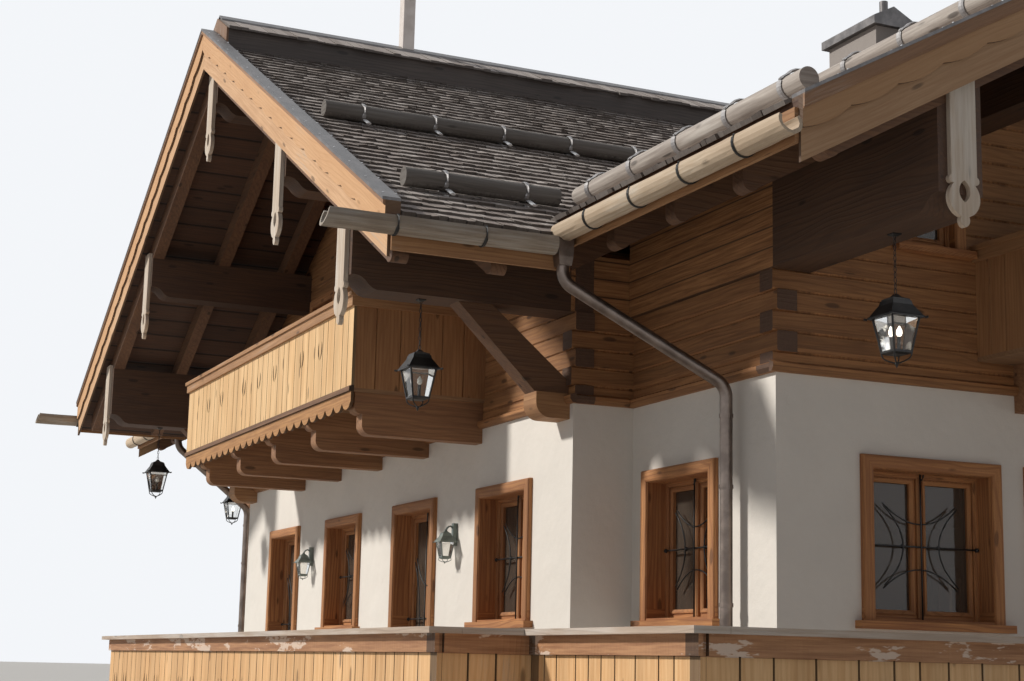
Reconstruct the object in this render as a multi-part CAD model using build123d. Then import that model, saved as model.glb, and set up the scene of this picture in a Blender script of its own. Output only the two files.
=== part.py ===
from build123d import *
import os
from dataclasses import dataclass
from math import floor, hypot

# An alpine chalet: a plastered ground storey, a log storey with gables under wide eaves,
# a wing on each long side, carved balconies and a board balustrade round its terrace.
# Sizes are in millimetres. X runs across the front gable from the main ridge, Y runs
# from the front gable's face into the depth, Z is the height over the terrace.

# Plan of the house
MAIN_WIDTH = 10000
MAIN_LENGTH = 11000
WING_PROJECTION = 2270
WING_SETBACK = 580
WING_WIDTH = 7120
MASONRY = 450

# Floors and log courses
GROUND_FLOOR_TOP = 150
LOG_BASE = 3000
UPPER_FLOOR_TOP = 3250
LOG_THICKNESS = 180
LOG_COURSE = 160
WALL_COURSES = 5
LOG_GROOVE = 12
LOG_END = 25
LEDGE_HEIGHT = 90
LEDGE_DEPTH = 60

# Roof, with every thickness measured plumb
ROOF_RISE = 0.549
EAVES_TOP = 4130
EAVES_OVERHANG = 1200
GABLE_OVERHANG = 2150
ROOF_THICKNESS = 260
VERGE_RISE = 100
WING_RAISE = 200
WING_VERGE_RISE = 20
RAFTER_DEPTH = 220
RAFTER_WIDTH = 140
RAFTER_SPACING = 850
RAFTER_TAIL_SETBACK = 250
RAFTER_TAIL_ROUND = 120
RIDGE_CAP_HALF = 450
RIDGE_CAP_RISE = 270
RIDGE_CAP_SETBACK = 120
SEAM = 2

# Purlins
EAVES_PURLIN_WIDTH = 360
EAVES_PURLIN_INSET = 20
WING_PURLIN_INSET = -40
NOSE_HEIGHT = 110
NOSE_LENGTH = 280
INNER_PURLIN_WIDTH = 300
INNER_PURLIN_HEIGHT = 300
MAIN_MID_PURLIN = 2790
WING_MID_PURLIN = 1780
PURLIN_SETBACK = 110
BRACE_WIDTH = 200
BRACE_THICKNESS = 240
BRACE_REACH = 1050
CORBEL_REACH = 320
CORBEL_HEIGHT = 130
CORBEL_LAP = 30

# Barge boards, flashing, eaves boards and drop boards
BARGE_DEPTH = 440
BARGE_THICKNESS = 50
BARGE_FACE_THICKNESS = 25
BARGE_FACE_DEPTH = 220
SCALLOP_PITCH = 370
SCALLOP_DEPTH = 35
FLASHING_THICKNESS = 25
FLASHING_WIDTH = 150
EAVES_BOARD_THICKNESS = 30
EAVES_BOARD_DROP = 30
EAVES_BOARD_TOP_GAP = 60
DROP_LENGTH = 1060
DROP_WIDTH = 250
DROP_SHAFT = 210
DROP_THICKNESS = 40
DROP_KNOB = 36
DROP_EYE_HEIGHT = 150
DROP_EYE_WIDTH = 90

# Gutters and downpipes
GUTTER_RADIUS = 90
GUTTER_RIM = 50
GUTTER_WALL = 25
GUTTER_AXIS = 4020
WING_GUTTER_AXIS = 4140
GUTTER_REACH = 590
WING_GUTTER_REACH = 120
PIPE_RADIUS = 50
PIPE_WALL_GAP = 15
PIPE_BEND = 160
PIPE_FOOT_INSET = 510
PIPE_NECK = 190

# Snow guards
GUARD_RADIUS = 78
GUARD_STAND = 30
GUARD_SPACING = 720
GUARD_BRACKET = 40
GUARD_VALLEY_GAP = 150
MAIN_GUARD_RUNS = (720, 2930)
WING_GUARD_RUNS = (330, 1750)
WING_GUARD_SETBACKS = (370, 110)

# Windows and doors
CASING_WIDTH = 105
CASING_PROUD = 30
LINING = 60
SILL_LINING = 20
SASH_DEPTH = 180
SASH_THICKNESS = 60
STILE = 75
GLASS = 8
SILL_HEIGHT = 60
SILL_PROUD = 90
SILL_HORN = 60
DOOR_RAIL = 200
LOG_CASING_WIDTH = 110
LOG_SASH_DEPTH = 70

# Balconies
BALCONY_DEPTH = 1350
FRONT_BALCONY_CENTRE = -80
FRONT_BALCONY_WIDTH = 6280
WING_BALCONY_WIDTH = 3320
BEAM_WIDTH = 160
BEAM_SPACING = 1388
UPPER_BEAM_HEIGHT = 200
UPPER_BEAM_SETBACK = 50
UPPER_BEAM_ROUND = 65
LOWER_BEAM_HEIGHT = 190
LOWER_BEAM_SETBACK = 130
LOWER_BEAM_ROUND = 90
BALCONY_FLOOR_TOP = 3285
BALCONY_FLOOR_THICKNESS = 35
BALCONY_BOARD = 30
RAIL_TOP = 4190
RAIL_UNDERSIDE = 4060
RAIL_CAP = 40
RAIL_CAP_WIDTH = 170
RAIL_FASCIA = 30
TRIM_TOP = 3300
TRIM_HEIGHT = 45
TRIM_PROUD = 20
TOOTH_DEPTH = 70
TOOTH_WIDTH = 250
FRINGE_BOTTOM = 3090
LYRE_HEIGHT = 190
LYRE_WIDTH = 130
LYRE_SLOT = 28
LYRE_CENTRE = 3780
LYRE_PITCH = 600
LYRE_GROUP_GAP = 950

# Chimney and flue
CHIMNEY_LENGTH = 850
CHIMNEY_WIDTH = 380
CHIMNEY_END = 3970
CHIMNEY_TOP = 7450
CHIMNEY_CAP_OVERHANG = 60
CHIMNEY_CAP_EDGE = 90
CHIMNEY_CAP_RISE = 130
CHIMNEY_PIPE_RADIUS = 45
CHIMNEY_PIPE_HEIGHT = 110
CHIMNEY_PIPE_PLACE = 180
FLUE_SIDE = 140
FLUE_HEIGHT = 1100
FLUE_PLACE = 200
FLUE_CAP = 25

# Lanterns
LANTERN_WIDTH = 290
LANTERN_BASE_WIDTH = 190
LANTERN_GLASS = 260
LANTERN_ROOF = 150
LANTERN_ROOF_WIDTH = 350
LANTERN_CHAIN = 480
LANTERN_CHAIN_WIDTH = 14
LANTERN_FINIAL = 80
MAIN_LANTERN_PLACE = 1350
WING_LANTERN_PLACE = 1310
WALL_LANTERN_HEIGHT = 340
WALL_LANTERN_WIDTH = 190
WALL_LANTERN_BASE = 1740

# Terrace balustrade
TERRACE_START = 300
TERRACE_FRONT = 2850
TERRACE_CORNER = 4150
TERRACE_SIDE = 3780
TERRACE_BAY = 1650
TERRACE_BAYS = 6
TERRACE_TOP = 980
TERRACE_BOARD = 30
TERRACE_BOARD_FOOT = 60
TERRACE_CAP = 35
TERRACE_CAP_WIDTH = 200
TERRACE_FASCIA = 105
TERRACE_FASCIA_THICKNESS = 25
TERRACE_FOOT_BOARD = 90
TERRACE_POST = 110
TERRACE_LYRE_CENTRE = 540
TERRACE_LYRE_PITCH = 1320
TERRACE_LYRE_PAIR = 420
TERRACE_LYRE_MARGIN = 425

# Places worked out from the sizes above
MAIN_HALF = MAIN_WIDTH / 2
WING_HALF = WING_WIDTH / 2
WING_RIDGE = WING_SETBACK + WING_HALF
WING_END = MAIN_HALF + WING_PROJECTION
WING_BACK = WING_SETBACK + WING_WIDTH
MAIN_RUN = MAIN_HALF + EAVES_OVERHANG
WING_RUN = WING_HALF + EAVES_OVERHANG
WALL_TOP = LOG_BASE + WALL_COURSES * LOG_COURSE
ROOF_DEPTH = ROOF_THICKNESS + RAFTER_DEPTH
KERB_WIDTH = FLASHING_WIDTH - BARGE_THICKNESS - FLASHING_THICKNESS
FRONT_VERGE = -GABLE_OVERHANG
BACK_VERGE = MAIN_LENGTH + GABLE_OVERHANG
WING_VERGE = WING_END + GABLE_OVERHANG
VALLEY_FOOT = MAIN_RUN - WING_RAISE / ROOF_RISE
VALLEY_TOP = VALLEY_FOOT - WING_RUN
WING_EAVES_FRONT = WING_RIDGE - WING_RUN
WING_EAVES_BACK = WING_RIDGE + WING_RUN

# The four kinds of wall face: local X runs along the wall, local Y up, local Z outwards
FRONT = Plane(origin=(0, 0, 0), x_dir=(1, 0, 0), z_dir=(0, -1, 0))
BACK = Plane(origin=(0, MAIN_LENGTH, 0), x_dir=(-1, 0, 0), z_dir=(0, 1, 0))
SIDE = Plane(origin=(MAIN_HALF, 0, 0), x_dir=(0, 1, 0), z_dir=(1, 0, 0))
WING_FRONT = Plane(origin=(MAIN_HALF, WING_SETBACK, 0), x_dir=(1, 0, 0), z_dir=(0, -1, 0))
WING_REAR = Plane(origin=(MAIN_HALF, WING_BACK, 0), x_dir=(-1, 0, 0), z_dir=(0, 1, 0))
WING_GABLE = Plane(origin=(WING_END, WING_RIDGE, 0), x_dir=(0, 1, 0), z_dir=(1, 0, 0))


def main_roof(x):
    """Height of the main roof's surface over a place across the house."""
    return EAVES_TOP + ROOF_RISE * (MAIN_RUN - abs(x))


def wing_roof(offset):
    """Height of a wing roof's surface at a distance from the wing's ridge."""
    return EAVES_TOP + WING_RAISE + ROOF_RISE * (WING_RUN - abs(offset))


def main_verge(x):
    """Height of the main barge boards over a place across the house."""
    return main_roof(x) + VERGE_RISE


def wing_verge(offset):
    """Height of a wing's barge boards at a distance from the wing's ridge."""
    return wing_roof(offset) + WING_VERGE_RISE


def block(x0, x1, y0, y1, z0, z1):
    """Box between two corners."""
    return Pos(x0, y0, z0) * Box(x1 - x0, y1 - y0, z1 - z0, align=(Align.MIN,) * 3)


def prism(points, path):
    """Flat outline in space carried along a straight path."""
    return Solid.extrude(Face(Wire.make_polygon([Vector(*p) for p in points], close=True)), Vector(*path))


def panel(plane, outline, front, back):
    """Outline on a wall face carried between two depths, which count inwards."""
    face = make_face(Polyline(*outline, close=True))
    return extrude(plane.offset(-back) * face, amount=back - front)


def rectangle(u0, u1, v0, v1):
    """Corners of a rectangle on a wall face."""
    return [(u0, v0), (u1, v0), (u1, v1), (u0, v1)]


def lyre(centre, height):
    """Pair of crescents that meet at a point below and stand open at the top, as a flat sketch."""
    foot, top, half = -LYRE_HEIGHT / 2, LYRE_HEIGHT / 2, LYRE_WIDTH / 2
    outer = ThreePointArc((LYRE_SLOT / 4, foot), (half, 0), (half * 0.62, top))
    inner = ThreePointArc((half * 0.62, top), (half - LYRE_SLOT, LYRE_SLOT / 4), (LYRE_SLOT / 4, foot))
    crescent = make_face(Curve() + [outer, inner])
    return Pos(centre, height) * (crescent + mirror(crescent, about=Plane.YZ))


def carried(plane, u0, u1, outline):
    """Sketch across a wall face, as (reach, height), carried between two places along the wall."""
    start = plane.from_local_coords(Vector(u0, 0, 0))
    across = Plane(origin=start, x_dir=plane.z_dir, z_dir=plane.x_dir * -1)
    return extrude(across * make_face(outline), amount=u0 - u1)


def rounded_heel(foot, reach, radius):
    """Quarter round from a timber's underside up to its end face."""
    bend = radius * (1 - 0.5 ** 0.5)
    return ThreePointArc((reach - radius, foot), (reach - bend, foot + bend), (reach, foot + radius))


def other_side(shape):
    """The same piece on the other side of the main ridge."""
    return mirror(shape, about=Plane.YZ)


def both_sides(*shapes):
    """Pieces of the right side and their mirror images on the left."""
    return [*shapes, *(other_side(shape) for shape in shapes)]


@dataclass(frozen=True)
class Opening:
    """Window or door: the place and outer size of its casing on a wall face."""

    plane: Plane
    centre: float
    width: float
    sill: float
    head: float
    leaves: int = 2
    upper: bool = False

    @property
    def is_door(self):
        """A door reaches down to the floor and has no sill board."""
        return self.sill <= (BALCONY_FLOOR_TOP if self.upper else GROUND_FLOOR_TOP)

    @property
    def foot(self):
        """Height of the lining board on a window's sill; a door has none."""
        return 0 if self.is_door else SILL_LINING

    def ring(self, inset, foot=0):
        """Rectangle inside the casing's outer edge, a little over the sill or the floor."""
        half = self.width / 2 - inset
        return rectangle(self.centre - half, self.centre + half, self.sill + foot, self.head - inset)

    def hole(self, depth):
        """Cutter for the opening through a wall."""
        cover = (LOG_CASING_WIDTH if self.upper else CASING_WIDTH) - LINING
        return panel(self.plane, self.ring(cover), -2 * SILL_PROUD, depth)

    def casing(self):
        """Casing boards on the face, lining boards through the wall and the sill board."""
        board = LOG_CASING_WIDTH if self.upper else CASING_WIDTH
        depth = (LOG_SASH_DEPTH if self.upper else SASH_DEPTH) + SASH_THICKNESS
        frame = panel(self.plane, self.ring(0), -CASING_PROUD, 0)
        frame += panel(self.plane, self.ring(board - LINING), 0, depth)
        frame -= panel(self.plane, self.ring(board, self.foot), -2 * SILL_PROUD, 2 * depth)
        if not self.is_door:
            half = self.width / 2 + SILL_HORN
            sill = rectangle(self.centre - half, self.centre + half, self.sill - SILL_HEIGHT, self.sill)
            frame += panel(self.plane, sill, -SILL_PROUD, 0)
        return frame

    def panes(self):
        """Outlines of the glass panes."""
        board = LOG_CASING_WIDTH if self.upper else CASING_WIDTH
        left = self.centre - self.width / 2 + board
        leaf = (self.width - 2 * board) / self.leaves
        foot = self.sill + (DOOR_RAIL if self.is_door else SILL_LINING + STILE)
        top = self.head - board - STILE
        return [
            rectangle(left + leaf * i + STILE, left + leaf * (i + 1) - STILE, foot, top)
            for i in range(self.leaves)
        ]

    def sash(self):
        """The leaves, joined at their meeting stiles."""
        board = LOG_CASING_WIDTH if self.upper else CASING_WIDTH
        depth = LOG_SASH_DEPTH if self.upper else SASH_DEPTH
        leaf = panel(self.plane, self.ring(board, self.foot), depth, depth + SASH_THICKNESS)
        for pane in self.panes():
            leaf -= panel(self.plane, pane, 0, 2 * (depth + SASH_THICKNESS))
        return leaf

    def glass(self):
        """One pane in each leaf."""
        depth = (LOG_SASH_DEPTH if self.upper else SASH_DEPTH) + (SASH_THICKNESS - GLASS) / 2
        return [panel(self.plane, pane, depth, depth + GLASS) for pane in self.panes()]


WINDOW_WIDTH = 1220
WINDOW_SILL = 1170
WINDOW_HEAD = 2430
FRONT_WINDOW_LAST = 3590
FRONT_WINDOW_PITCH = 2280
WING_WINDOW_CENTRE = 825
GABLE_WINDOW_OFFSET = 2145
GABLE_WINDOW_WIDTH = 1330
TERRACE_DOOR_WIDTH = 2480
UPPER_WINDOW_OFFSET = 2050
UPPER_WINDOW_WIDTH = 1000
UPPER_WINDOW_SILL = 4000
UPPER_HEAD = 5250
BALCONY_DOOR_WIDTH = 1100
SMALL_WINDOW_OFFSET = 2090
SMALL_WINDOW_WIDTH = 640
SMALL_WINDOW_SILL = 4130
SMALL_WINDOW_HEAD = 4800


def ground_openings(sided):
    """Windows and doors of the ground storey, on the gables or on one side of the house."""
    if not sided:
        places = [FRONT_WINDOW_LAST - FRONT_WINDOW_PITCH * i for i in range(4)]
        sills = [WINDOW_SILL, GROUND_FLOOR_TOP, WINDOW_SILL, GROUND_FLOOR_TOP]
        front = [Opening(FRONT, p, WINDOW_WIDTH, s, WINDOW_HEAD) for p, s in zip(places, sills)]
        back = [Opening(BACK, p, WINDOW_WIDTH, WINDOW_SILL, WINDOW_HEAD) for p in places]
        return front + back
    rear_centre = (WING_BACK + MAIN_LENGTH) / 2
    gable = [(side * GABLE_WINDOW_OFFSET, GABLE_WINDOW_WIDTH, WINDOW_SILL) for side in (-1, 1)]
    gable.append((0, TERRACE_DOOR_WIDTH, GROUND_FLOOR_TOP))
    return [
        Opening(WING_FRONT, WING_WINDOW_CENTRE, WINDOW_WIDTH, WINDOW_SILL, WINDOW_HEAD),
        Opening(WING_REAR, -WING_WINDOW_CENTRE, WINDOW_WIDTH, WINDOW_SILL, WINDOW_HEAD),
        Opening(SIDE, rear_centre, WINDOW_WIDTH, WINDOW_SILL, WINDOW_HEAD),
        *(Opening(WING_GABLE, c, w, s, WINDOW_HEAD) for c, w, s in gable),
    ]


def upper_openings(sided):
    """Windows and balcony doors of the log storey, on the gables or on one side."""
    if not sided:
        windows = [
            Opening(plane, side * UPPER_WINDOW_OFFSET, UPPER_WINDOW_WIDTH, UPPER_WINDOW_SILL, UPPER_HEAD, 2, True)
            for plane in (FRONT, BACK)
            for side in (-1, 1)
        ]
        return windows + [Opening(FRONT, 0, BALCONY_DOOR_WIDTH, BALCONY_FLOOR_TOP, UPPER_HEAD, 2, True)]
    windows = [
        Opening(WING_GABLE, side * SMALL_WINDOW_OFFSET, SMALL_WINDOW_WIDTH, SMALL_WINDOW_SILL,
                SMALL_WINDOW_HEAD, 1, True)
        for side in (-1, 1)
    ]
    return windows + [Opening(WING_GABLE, 0, BALCONY_DOOR_WIDTH, BALCONY_FLOOR_TOP, UPPER_HEAD, 2, True)]


GROUND_GABLE_OPENINGS = ground_openings(False)
GROUND_SIDE_OPENINGS = ground_openings(True)
UPPER_GABLE_OPENINGS = upper_openings(False)
UPPER_SIDE_OPENINGS = upper_openings(True)


def cut_openings(wall, plane, openings, depth):
    """The wall without the openings that lie on its face."""
    for opening in openings:
        if opening.plane is plane:
            wall -= opening.hole(depth)
    return wall


def masonry_wall(plane, u0, u1, openings):
    """Plastered wall of the ground storey between two places along its face."""
    wall = panel(plane, rectangle(u0, u1, 0, LOG_BASE), 0, MASONRY)
    return cut_openings(wall, plane, openings, 2 * MASONRY)


def masonry_nodes():
    """The ground storey's walls, which butt at the corners."""
    gables = [masonry_wall(p, -MAIN_HALF, MAIN_HALF, GROUND_GABLE_OPENINGS) for p in (FRONT, BACK)]
    wing_gable = masonry_wall(WING_GABLE, -WING_HALF, WING_HALF, GROUND_SIDE_OPENINGS)
    flank = WING_PROJECTION - MASONRY
    wing_front = masonry_wall(WING_FRONT, 0, flank, GROUND_SIDE_OPENINGS)
    wing_rear = masonry_wall(WING_REAR, -flank, 0, GROUND_SIDE_OPENINGS)
    stub = masonry_wall(SIDE, MASONRY, WING_SETBACK + MASONRY, [])
    rear = masonry_wall(SIDE, WING_BACK - MASONRY, MAIN_LENGTH - MASONRY, GROUND_SIDE_OPENINGS)
    return {
        "gable_masonry_walls": gables,
        "wing_gable_masonry_walls": both_sides(wing_gable),
        "wing_flank_masonry_walls": both_sides(wing_front, wing_rear),
        "main_side_masonry_walls": both_sides(stub, rear),
    }


def floor_slab(inset, bottom, top):
    """Floor of the whole plan inside its walls."""
    slab = block(-MAIN_HALF + inset, MAIN_HALF - inset, inset, MAIN_LENGTH - inset, bottom, top)
    return slab + block(
        -WING_END + inset, WING_END - inset, WING_SETBACK + inset, WING_BACK - inset, bottom, top
    )


def log_ends(place, away, joint, parity, top):
    """Corner points up one end of a log wall, whose courses reach out by turns.

    joint is "corner" where the courses interlock with the next wall, or "butt".
    """
    if joint == "butt":
        return [(place, LOG_BASE), (place, top)]
    points = []
    for course in range(WALL_COURSES):
        reach = LOG_END if course % 2 == parity else -LOG_THICKNESS
        bottom = LOG_BASE + course * LOG_COURSE
        points += [(place + away * reach, bottom), (place + away * reach, min(bottom + LOG_COURSE, top))]
    return points


def log_wall(plane, u0, u1, start, end, parity):
    """Wall of squared logs under an eaves purlin, with grooves between its courses."""
    outline = log_ends(u1, 1, end, parity, WALL_TOP) + log_ends(u0, -1, start, parity, WALL_TOP)[::-1]
    return groove_courses(panel(plane, outline, 0, LOG_THICKNESS), plane, u0, u1, WALL_TOP)


def groove_courses(wall, plane, u0, u1, top):
    """V-shaped groove along every joint between two courses."""
    cutters = []
    course = 1
    while LOG_BASE + course * LOG_COURSE < top - LOG_GROOVE:
        joint = LOG_BASE + course * LOG_COURSE
        section = [(u0 - LOG_THICKNESS, joint - 2 * LOG_GROOVE, LOG_GROOVE),
                   (u0 - LOG_THICKNESS, joint + 2 * LOG_GROOVE, LOG_GROOVE),
                   (u0 - LOG_THICKNESS, joint, -LOG_GROOVE)]
        start, away = (plane.from_local_coords(Vector(u, 0, 0)) for u in (0, u1 - u0 + 2 * LOG_THICKNESS))
        corners = [plane.from_local_coords(Vector(*point)) for point in section]
        cutters.append(Solid.extrude(Face(Wire.make_polygon(corners, close=True)), away - start))
        course += 1
    return wall - cutters if cutters else wall


def log_gable(plane, half, roof_height, timbers):
    """Gable of squared logs from the ground storey up to the roof boards."""
    lower = log_ends(half, 1, "corner", 0, WALL_TOP) + log_ends(-half, -1, "corner", 0, WALL_TOP)[::-1]
    eaves, ridge = (roof_height(place) - ROOF_THICKNESS for place in (half, 0))
    upper = [(half, WALL_TOP), (half, eaves), (0, ridge), (-half, eaves), (-half, WALL_TOP)]
    wall = panel(plane, lower, 0, LOG_THICKNESS) + panel(plane, upper, 0, LOG_THICKNESS)
    wall = groove_courses(wall, plane, -half, half, roof_height(0) - ROOF_THICKNESS)
    return (wall + ledge(plane, -half - LEDGE_DEPTH, half + LEDGE_DEPTH)) - timbers


def ledge(plane, u0, u1):
    """Moulded board that hides the joint between plaster and logs."""
    section = [(0, LOG_BASE, 0), (0, LOG_BASE, LEDGE_DEPTH * 0.6), (0, LOG_BASE + LEDGE_HEIGHT * 0.35, LEDGE_DEPTH),
               (0, LOG_BASE + LEDGE_HEIGHT * 0.7, LEDGE_DEPTH), (0, LOG_BASE + LEDGE_HEIGHT, 0)]
    corners = [plane.from_local_coords(Vector(u0, v, w)) for _, v, w in section]
    away = plane.from_local_coords(Vector(u1, 0, 0)) - plane.from_local_coords(Vector(u0, 0, 0))
    return Solid.extrude(Face(Wire.make_polygon(corners, close=True)), away)


def log_nodes(timbers):
    """The log storey: interlocking walls with the ledge along their foot.

    The gables carry the ledge round their corners; timbers are the beams, purlins and
    rafters that pass through the gables.
    """
    gables = []
    returns = both_sides(ledge(SIDE, 0, LOG_THICKNESS), ledge(SIDE, MAIN_LENGTH - LOG_THICKNESS, MAIN_LENGTH))
    for plane, corners in ((FRONT, returns[::2]), (BACK, returns[1::2])):
        wall = log_gable(plane, MAIN_HALF, main_roof, timbers)
        wall += corners
        gables.append(cut_openings(wall, plane, UPPER_GABLE_OPENINGS, 2 * LOG_THICKNESS))
    flank = WING_PROJECTION - LOG_THICKNESS
    wing_gable = log_gable(WING_GABLE, WING_HALF, wing_roof, timbers)
    wing_gable += [ledge(WING_FRONT, flank, WING_PROJECTION), ledge(WING_REAR, -WING_PROJECTION, -flank)]
    wing_gable = cut_openings(wing_gable, WING_GABLE, UPPER_SIDE_OPENINGS, 2 * LOG_THICKNESS)
    wing_front = log_wall(WING_FRONT, 0, WING_PROJECTION, "butt", "corner", 1)
    wing_front += ledge(WING_FRONT, 0, flank)
    wing_rear = log_wall(WING_REAR, -WING_PROJECTION, 0, "corner", "butt", 1)
    wing_rear += ledge(WING_REAR, -flank, 0)
    stub = log_wall(SIDE, 0, WING_SETBACK + LOG_THICKNESS, "corner", "butt", 1)
    stub += ledge(SIDE, LOG_THICKNESS, WING_SETBACK - LEDGE_DEPTH)
    rear = log_wall(SIDE, WING_BACK - LOG_THICKNESS, MAIN_LENGTH, "butt", "corner", 1)
    rear += ledge(SIDE, WING_BACK + LEDGE_DEPTH, MAIN_LENGTH - LOG_THICKNESS)
    return {
        "main_log_gables": gables,
        "wing_log_gables": both_sides(wing_gable),
        "wing_flank_log_walls": both_sides(wing_front, wing_rear),
        "main_side_log_walls": both_sides(stub, rear),
    }


def wing_plan(height):
    """Everything that lies under the right wing's roof in plan, up to its valleys."""
    outline = [(VALLEY_FOOT, WING_EAVES_FRONT, 0), (VALLEY_TOP, WING_RIDGE, 0), (VALLEY_FOOT, WING_EAVES_BACK, 0),
               (2 * WING_VERGE, WING_EAVES_BACK, 0), (2 * WING_VERGE, WING_EAVES_FRONT, 0)]
    return prism(outline, (0, 0, height))


def main_strip(x0, x1, upper, lower, y0, y1):
    """Strip parallel to the main roof's right slope, between two plumb depths under its surface."""
    section = [(x0, y0, main_roof(x0) - upper), (x1, y0, main_roof(x1) - upper),
               (x1, y0, main_roof(x1) - lower), (x0, y0, main_roof(x0) - lower)]
    return prism(section, (0, y1 - y0, 0))


def wing_strip(v0, v1, upper, lower, x0, x1):
    """Strip parallel to a wing roof's slope, at two distances from the wing's ridge."""
    section = [(x0, WING_RIDGE + v0, wing_roof(v0) - upper), (x0, WING_RIDGE + v1, wing_roof(v1) - upper),
               (x0, WING_RIDGE + v1, wing_roof(v1) - lower), (x0, WING_RIDGE + v0, wing_roof(v0) - lower)]
    return prism(section, (x1 - x0, 0, 0))


def roof_nodes(wing_area):
    """Boarded and shingled slopes, the raised ridge caps and the eaves boards."""
    main_right = main_strip(0, MAIN_RUN, 0, ROOF_THICKNESS, FRONT_VERGE, BACK_VERGE) - wing_area
    slopes = {
        side: wing_strip(0, side * WING_RUN, 0, ROOF_THICKNESS, VALLEY_TOP, WING_VERGE) & wing_area
        for side in (-1, 1)
    }
    main_cap = prism(
        [(-RIDGE_CAP_HALF, FRONT_VERGE + RIDGE_CAP_SETBACK, main_roof(RIDGE_CAP_HALF)),
         (0, FRONT_VERGE + RIDGE_CAP_SETBACK, main_roof(0)),
         (RIDGE_CAP_HALF, FRONT_VERGE + RIDGE_CAP_SETBACK, main_roof(RIDGE_CAP_HALF)),
         (RIDGE_CAP_HALF, FRONT_VERGE + RIDGE_CAP_SETBACK, main_roof(RIDGE_CAP_HALF) + RIDGE_CAP_RISE),
         (0, FRONT_VERGE + RIDGE_CAP_SETBACK, main_roof(0) + RIDGE_CAP_RISE),
         (-RIDGE_CAP_HALF, FRONT_VERGE + RIDGE_CAP_SETBACK, main_roof(RIDGE_CAP_HALF) + RIDGE_CAP_RISE)],
        (0, BACK_VERGE - FRONT_VERGE - 2 * RIDGE_CAP_SETBACK, 0),
    )
    wing_cap = prism(
        [(0, WING_RIDGE - RIDGE_CAP_HALF, wing_roof(RIDGE_CAP_HALF)),
         (0, WING_RIDGE, wing_roof(0)),
         (0, WING_RIDGE + RIDGE_CAP_HALF, wing_roof(RIDGE_CAP_HALF)),
         (0, WING_RIDGE + RIDGE_CAP_HALF, wing_roof(RIDGE_CAP_HALF) + RIDGE_CAP_RISE),
         (0, WING_RIDGE, wing_roof(0) + RIDGE_CAP_RISE),
         (0, WING_RIDGE - RIDGE_CAP_HALF, wing_roof(RIDGE_CAP_HALF) + RIDGE_CAP_RISE)],
        (WING_VERGE - RIDGE_CAP_SETBACK, 0, 0),
    )
    under_main = prism(
        [(-MAIN_RUN, FRONT_VERGE, main_roof(MAIN_RUN)), (0, FRONT_VERGE, main_roof(0)),
         (MAIN_RUN, FRONT_VERGE, main_roof(MAIN_RUN)), (MAIN_RUN, FRONT_VERGE, 0), (-MAIN_RUN, FRONT_VERGE, 0)],
        (0, BACK_VERGE - FRONT_VERGE, 0),
    )
    wing_cap = wing_cap - under_main
    return {
        "main_left_roof_slope": [other_side(main_right)],
        "main_right_roof_slope": [main_right],
        "wing_front_roof_slopes": both_sides(slopes[-1]),
        "wing_back_roof_slopes": both_sides(slopes[1]),
        "ridge_caps": [main_cap, *both_sides(wing_cap)],
    }


def eaves_boards():
    """Upright boards along the eaves, which carry the gutters."""
    top, bottom = EAVES_TOP - EAVES_BOARD_TOP_GAP, EAVES_TOP - ROOF_THICKNESS - EAVES_BOARD_DROP
    outer = MAIN_RUN + EAVES_BOARD_THICKNESS
    front = block(MAIN_RUN, outer, FRONT_VERGE, WING_EAVES_FRONT - EAVES_BOARD_THICKNESS - SEAM, bottom, top)
    back = block(MAIN_RUN, outer, WING_EAVES_BACK + EAVES_BOARD_THICKNESS + SEAM, BACK_VERGE, bottom, top)
    wing_front = block(MAIN_RUN, WING_VERGE, WING_EAVES_FRONT - EAVES_BOARD_THICKNESS, WING_EAVES_FRONT,
                       bottom + WING_RAISE, top + WING_RAISE)
    wing_back = block(MAIN_RUN, WING_VERGE, WING_EAVES_BACK, WING_EAVES_BACK + EAVES_BOARD_THICKNESS,
                      bottom + WING_RAISE, top + WING_RAISE)
    return both_sides(front, back, wing_front, wing_back)


def eaves_purlin_section(outer, inner, roof_height):
    """Section of an eaves purlin, bevelled to the rafters, as (place, height) points."""
    return [(outer, WALL_TOP), (outer, roof_height(outer) - ROOF_DEPTH),
            (inner, roof_height(inner) - ROOF_DEPTH), (inner, WALL_TOP)]


def inner_purlin_section(centre, roof_height):
    """Section of a ridge or middle purlin, bevelled to the rafters."""
    half = INNER_PURLIN_WIDTH / 2
    tops = [(place, roof_height(place) - ROOF_DEPTH) for place in (centre - half, centre, centre + half)]
    foot = min(height for _, height in tops) - INNER_PURLIN_HEIGHT
    return [(centre - half, foot), *tops, (centre + half, foot)]


def nose(end, away, foot):
    """Sketch of the S-shaped piece that is carved from under a purlin's end."""
    start, middle = (end - away * NOSE_LENGTH, foot), (end - away * NOSE_LENGTH / 2, foot + NOSE_HEIGHT / 2)
    tip = (end, foot + NOSE_HEIGHT)
    swell = NOSE_HEIGHT * 0.2
    first = ThreePointArc(start, (end - away * NOSE_LENGTH * 0.75, foot + NOSE_HEIGHT / 4 - swell), middle)
    second = ThreePointArc(middle, (end - away * NOSE_LENGTH * 0.25, foot + NOSE_HEIGHT * 0.75 + swell), tip)
    past = end + away * NOSE_LENGTH
    rest = Polyline(tip, (past, foot + NOSE_HEIGHT), (past, foot - NOSE_HEIGHT), (start[0], foot - NOSE_HEIGHT), start)
    return make_face(Curve() + [first, second, rest])


def carve_noses(purlin, ends, foot, plane):
    """The purlin with its ends carved from below; plane looks along the purlin's width."""
    for end, away in ends:
        purlin -= extrude(plane * nose(end, away, foot), amount=2 * MAIN_LENGTH, both=True)
    return purlin


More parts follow.
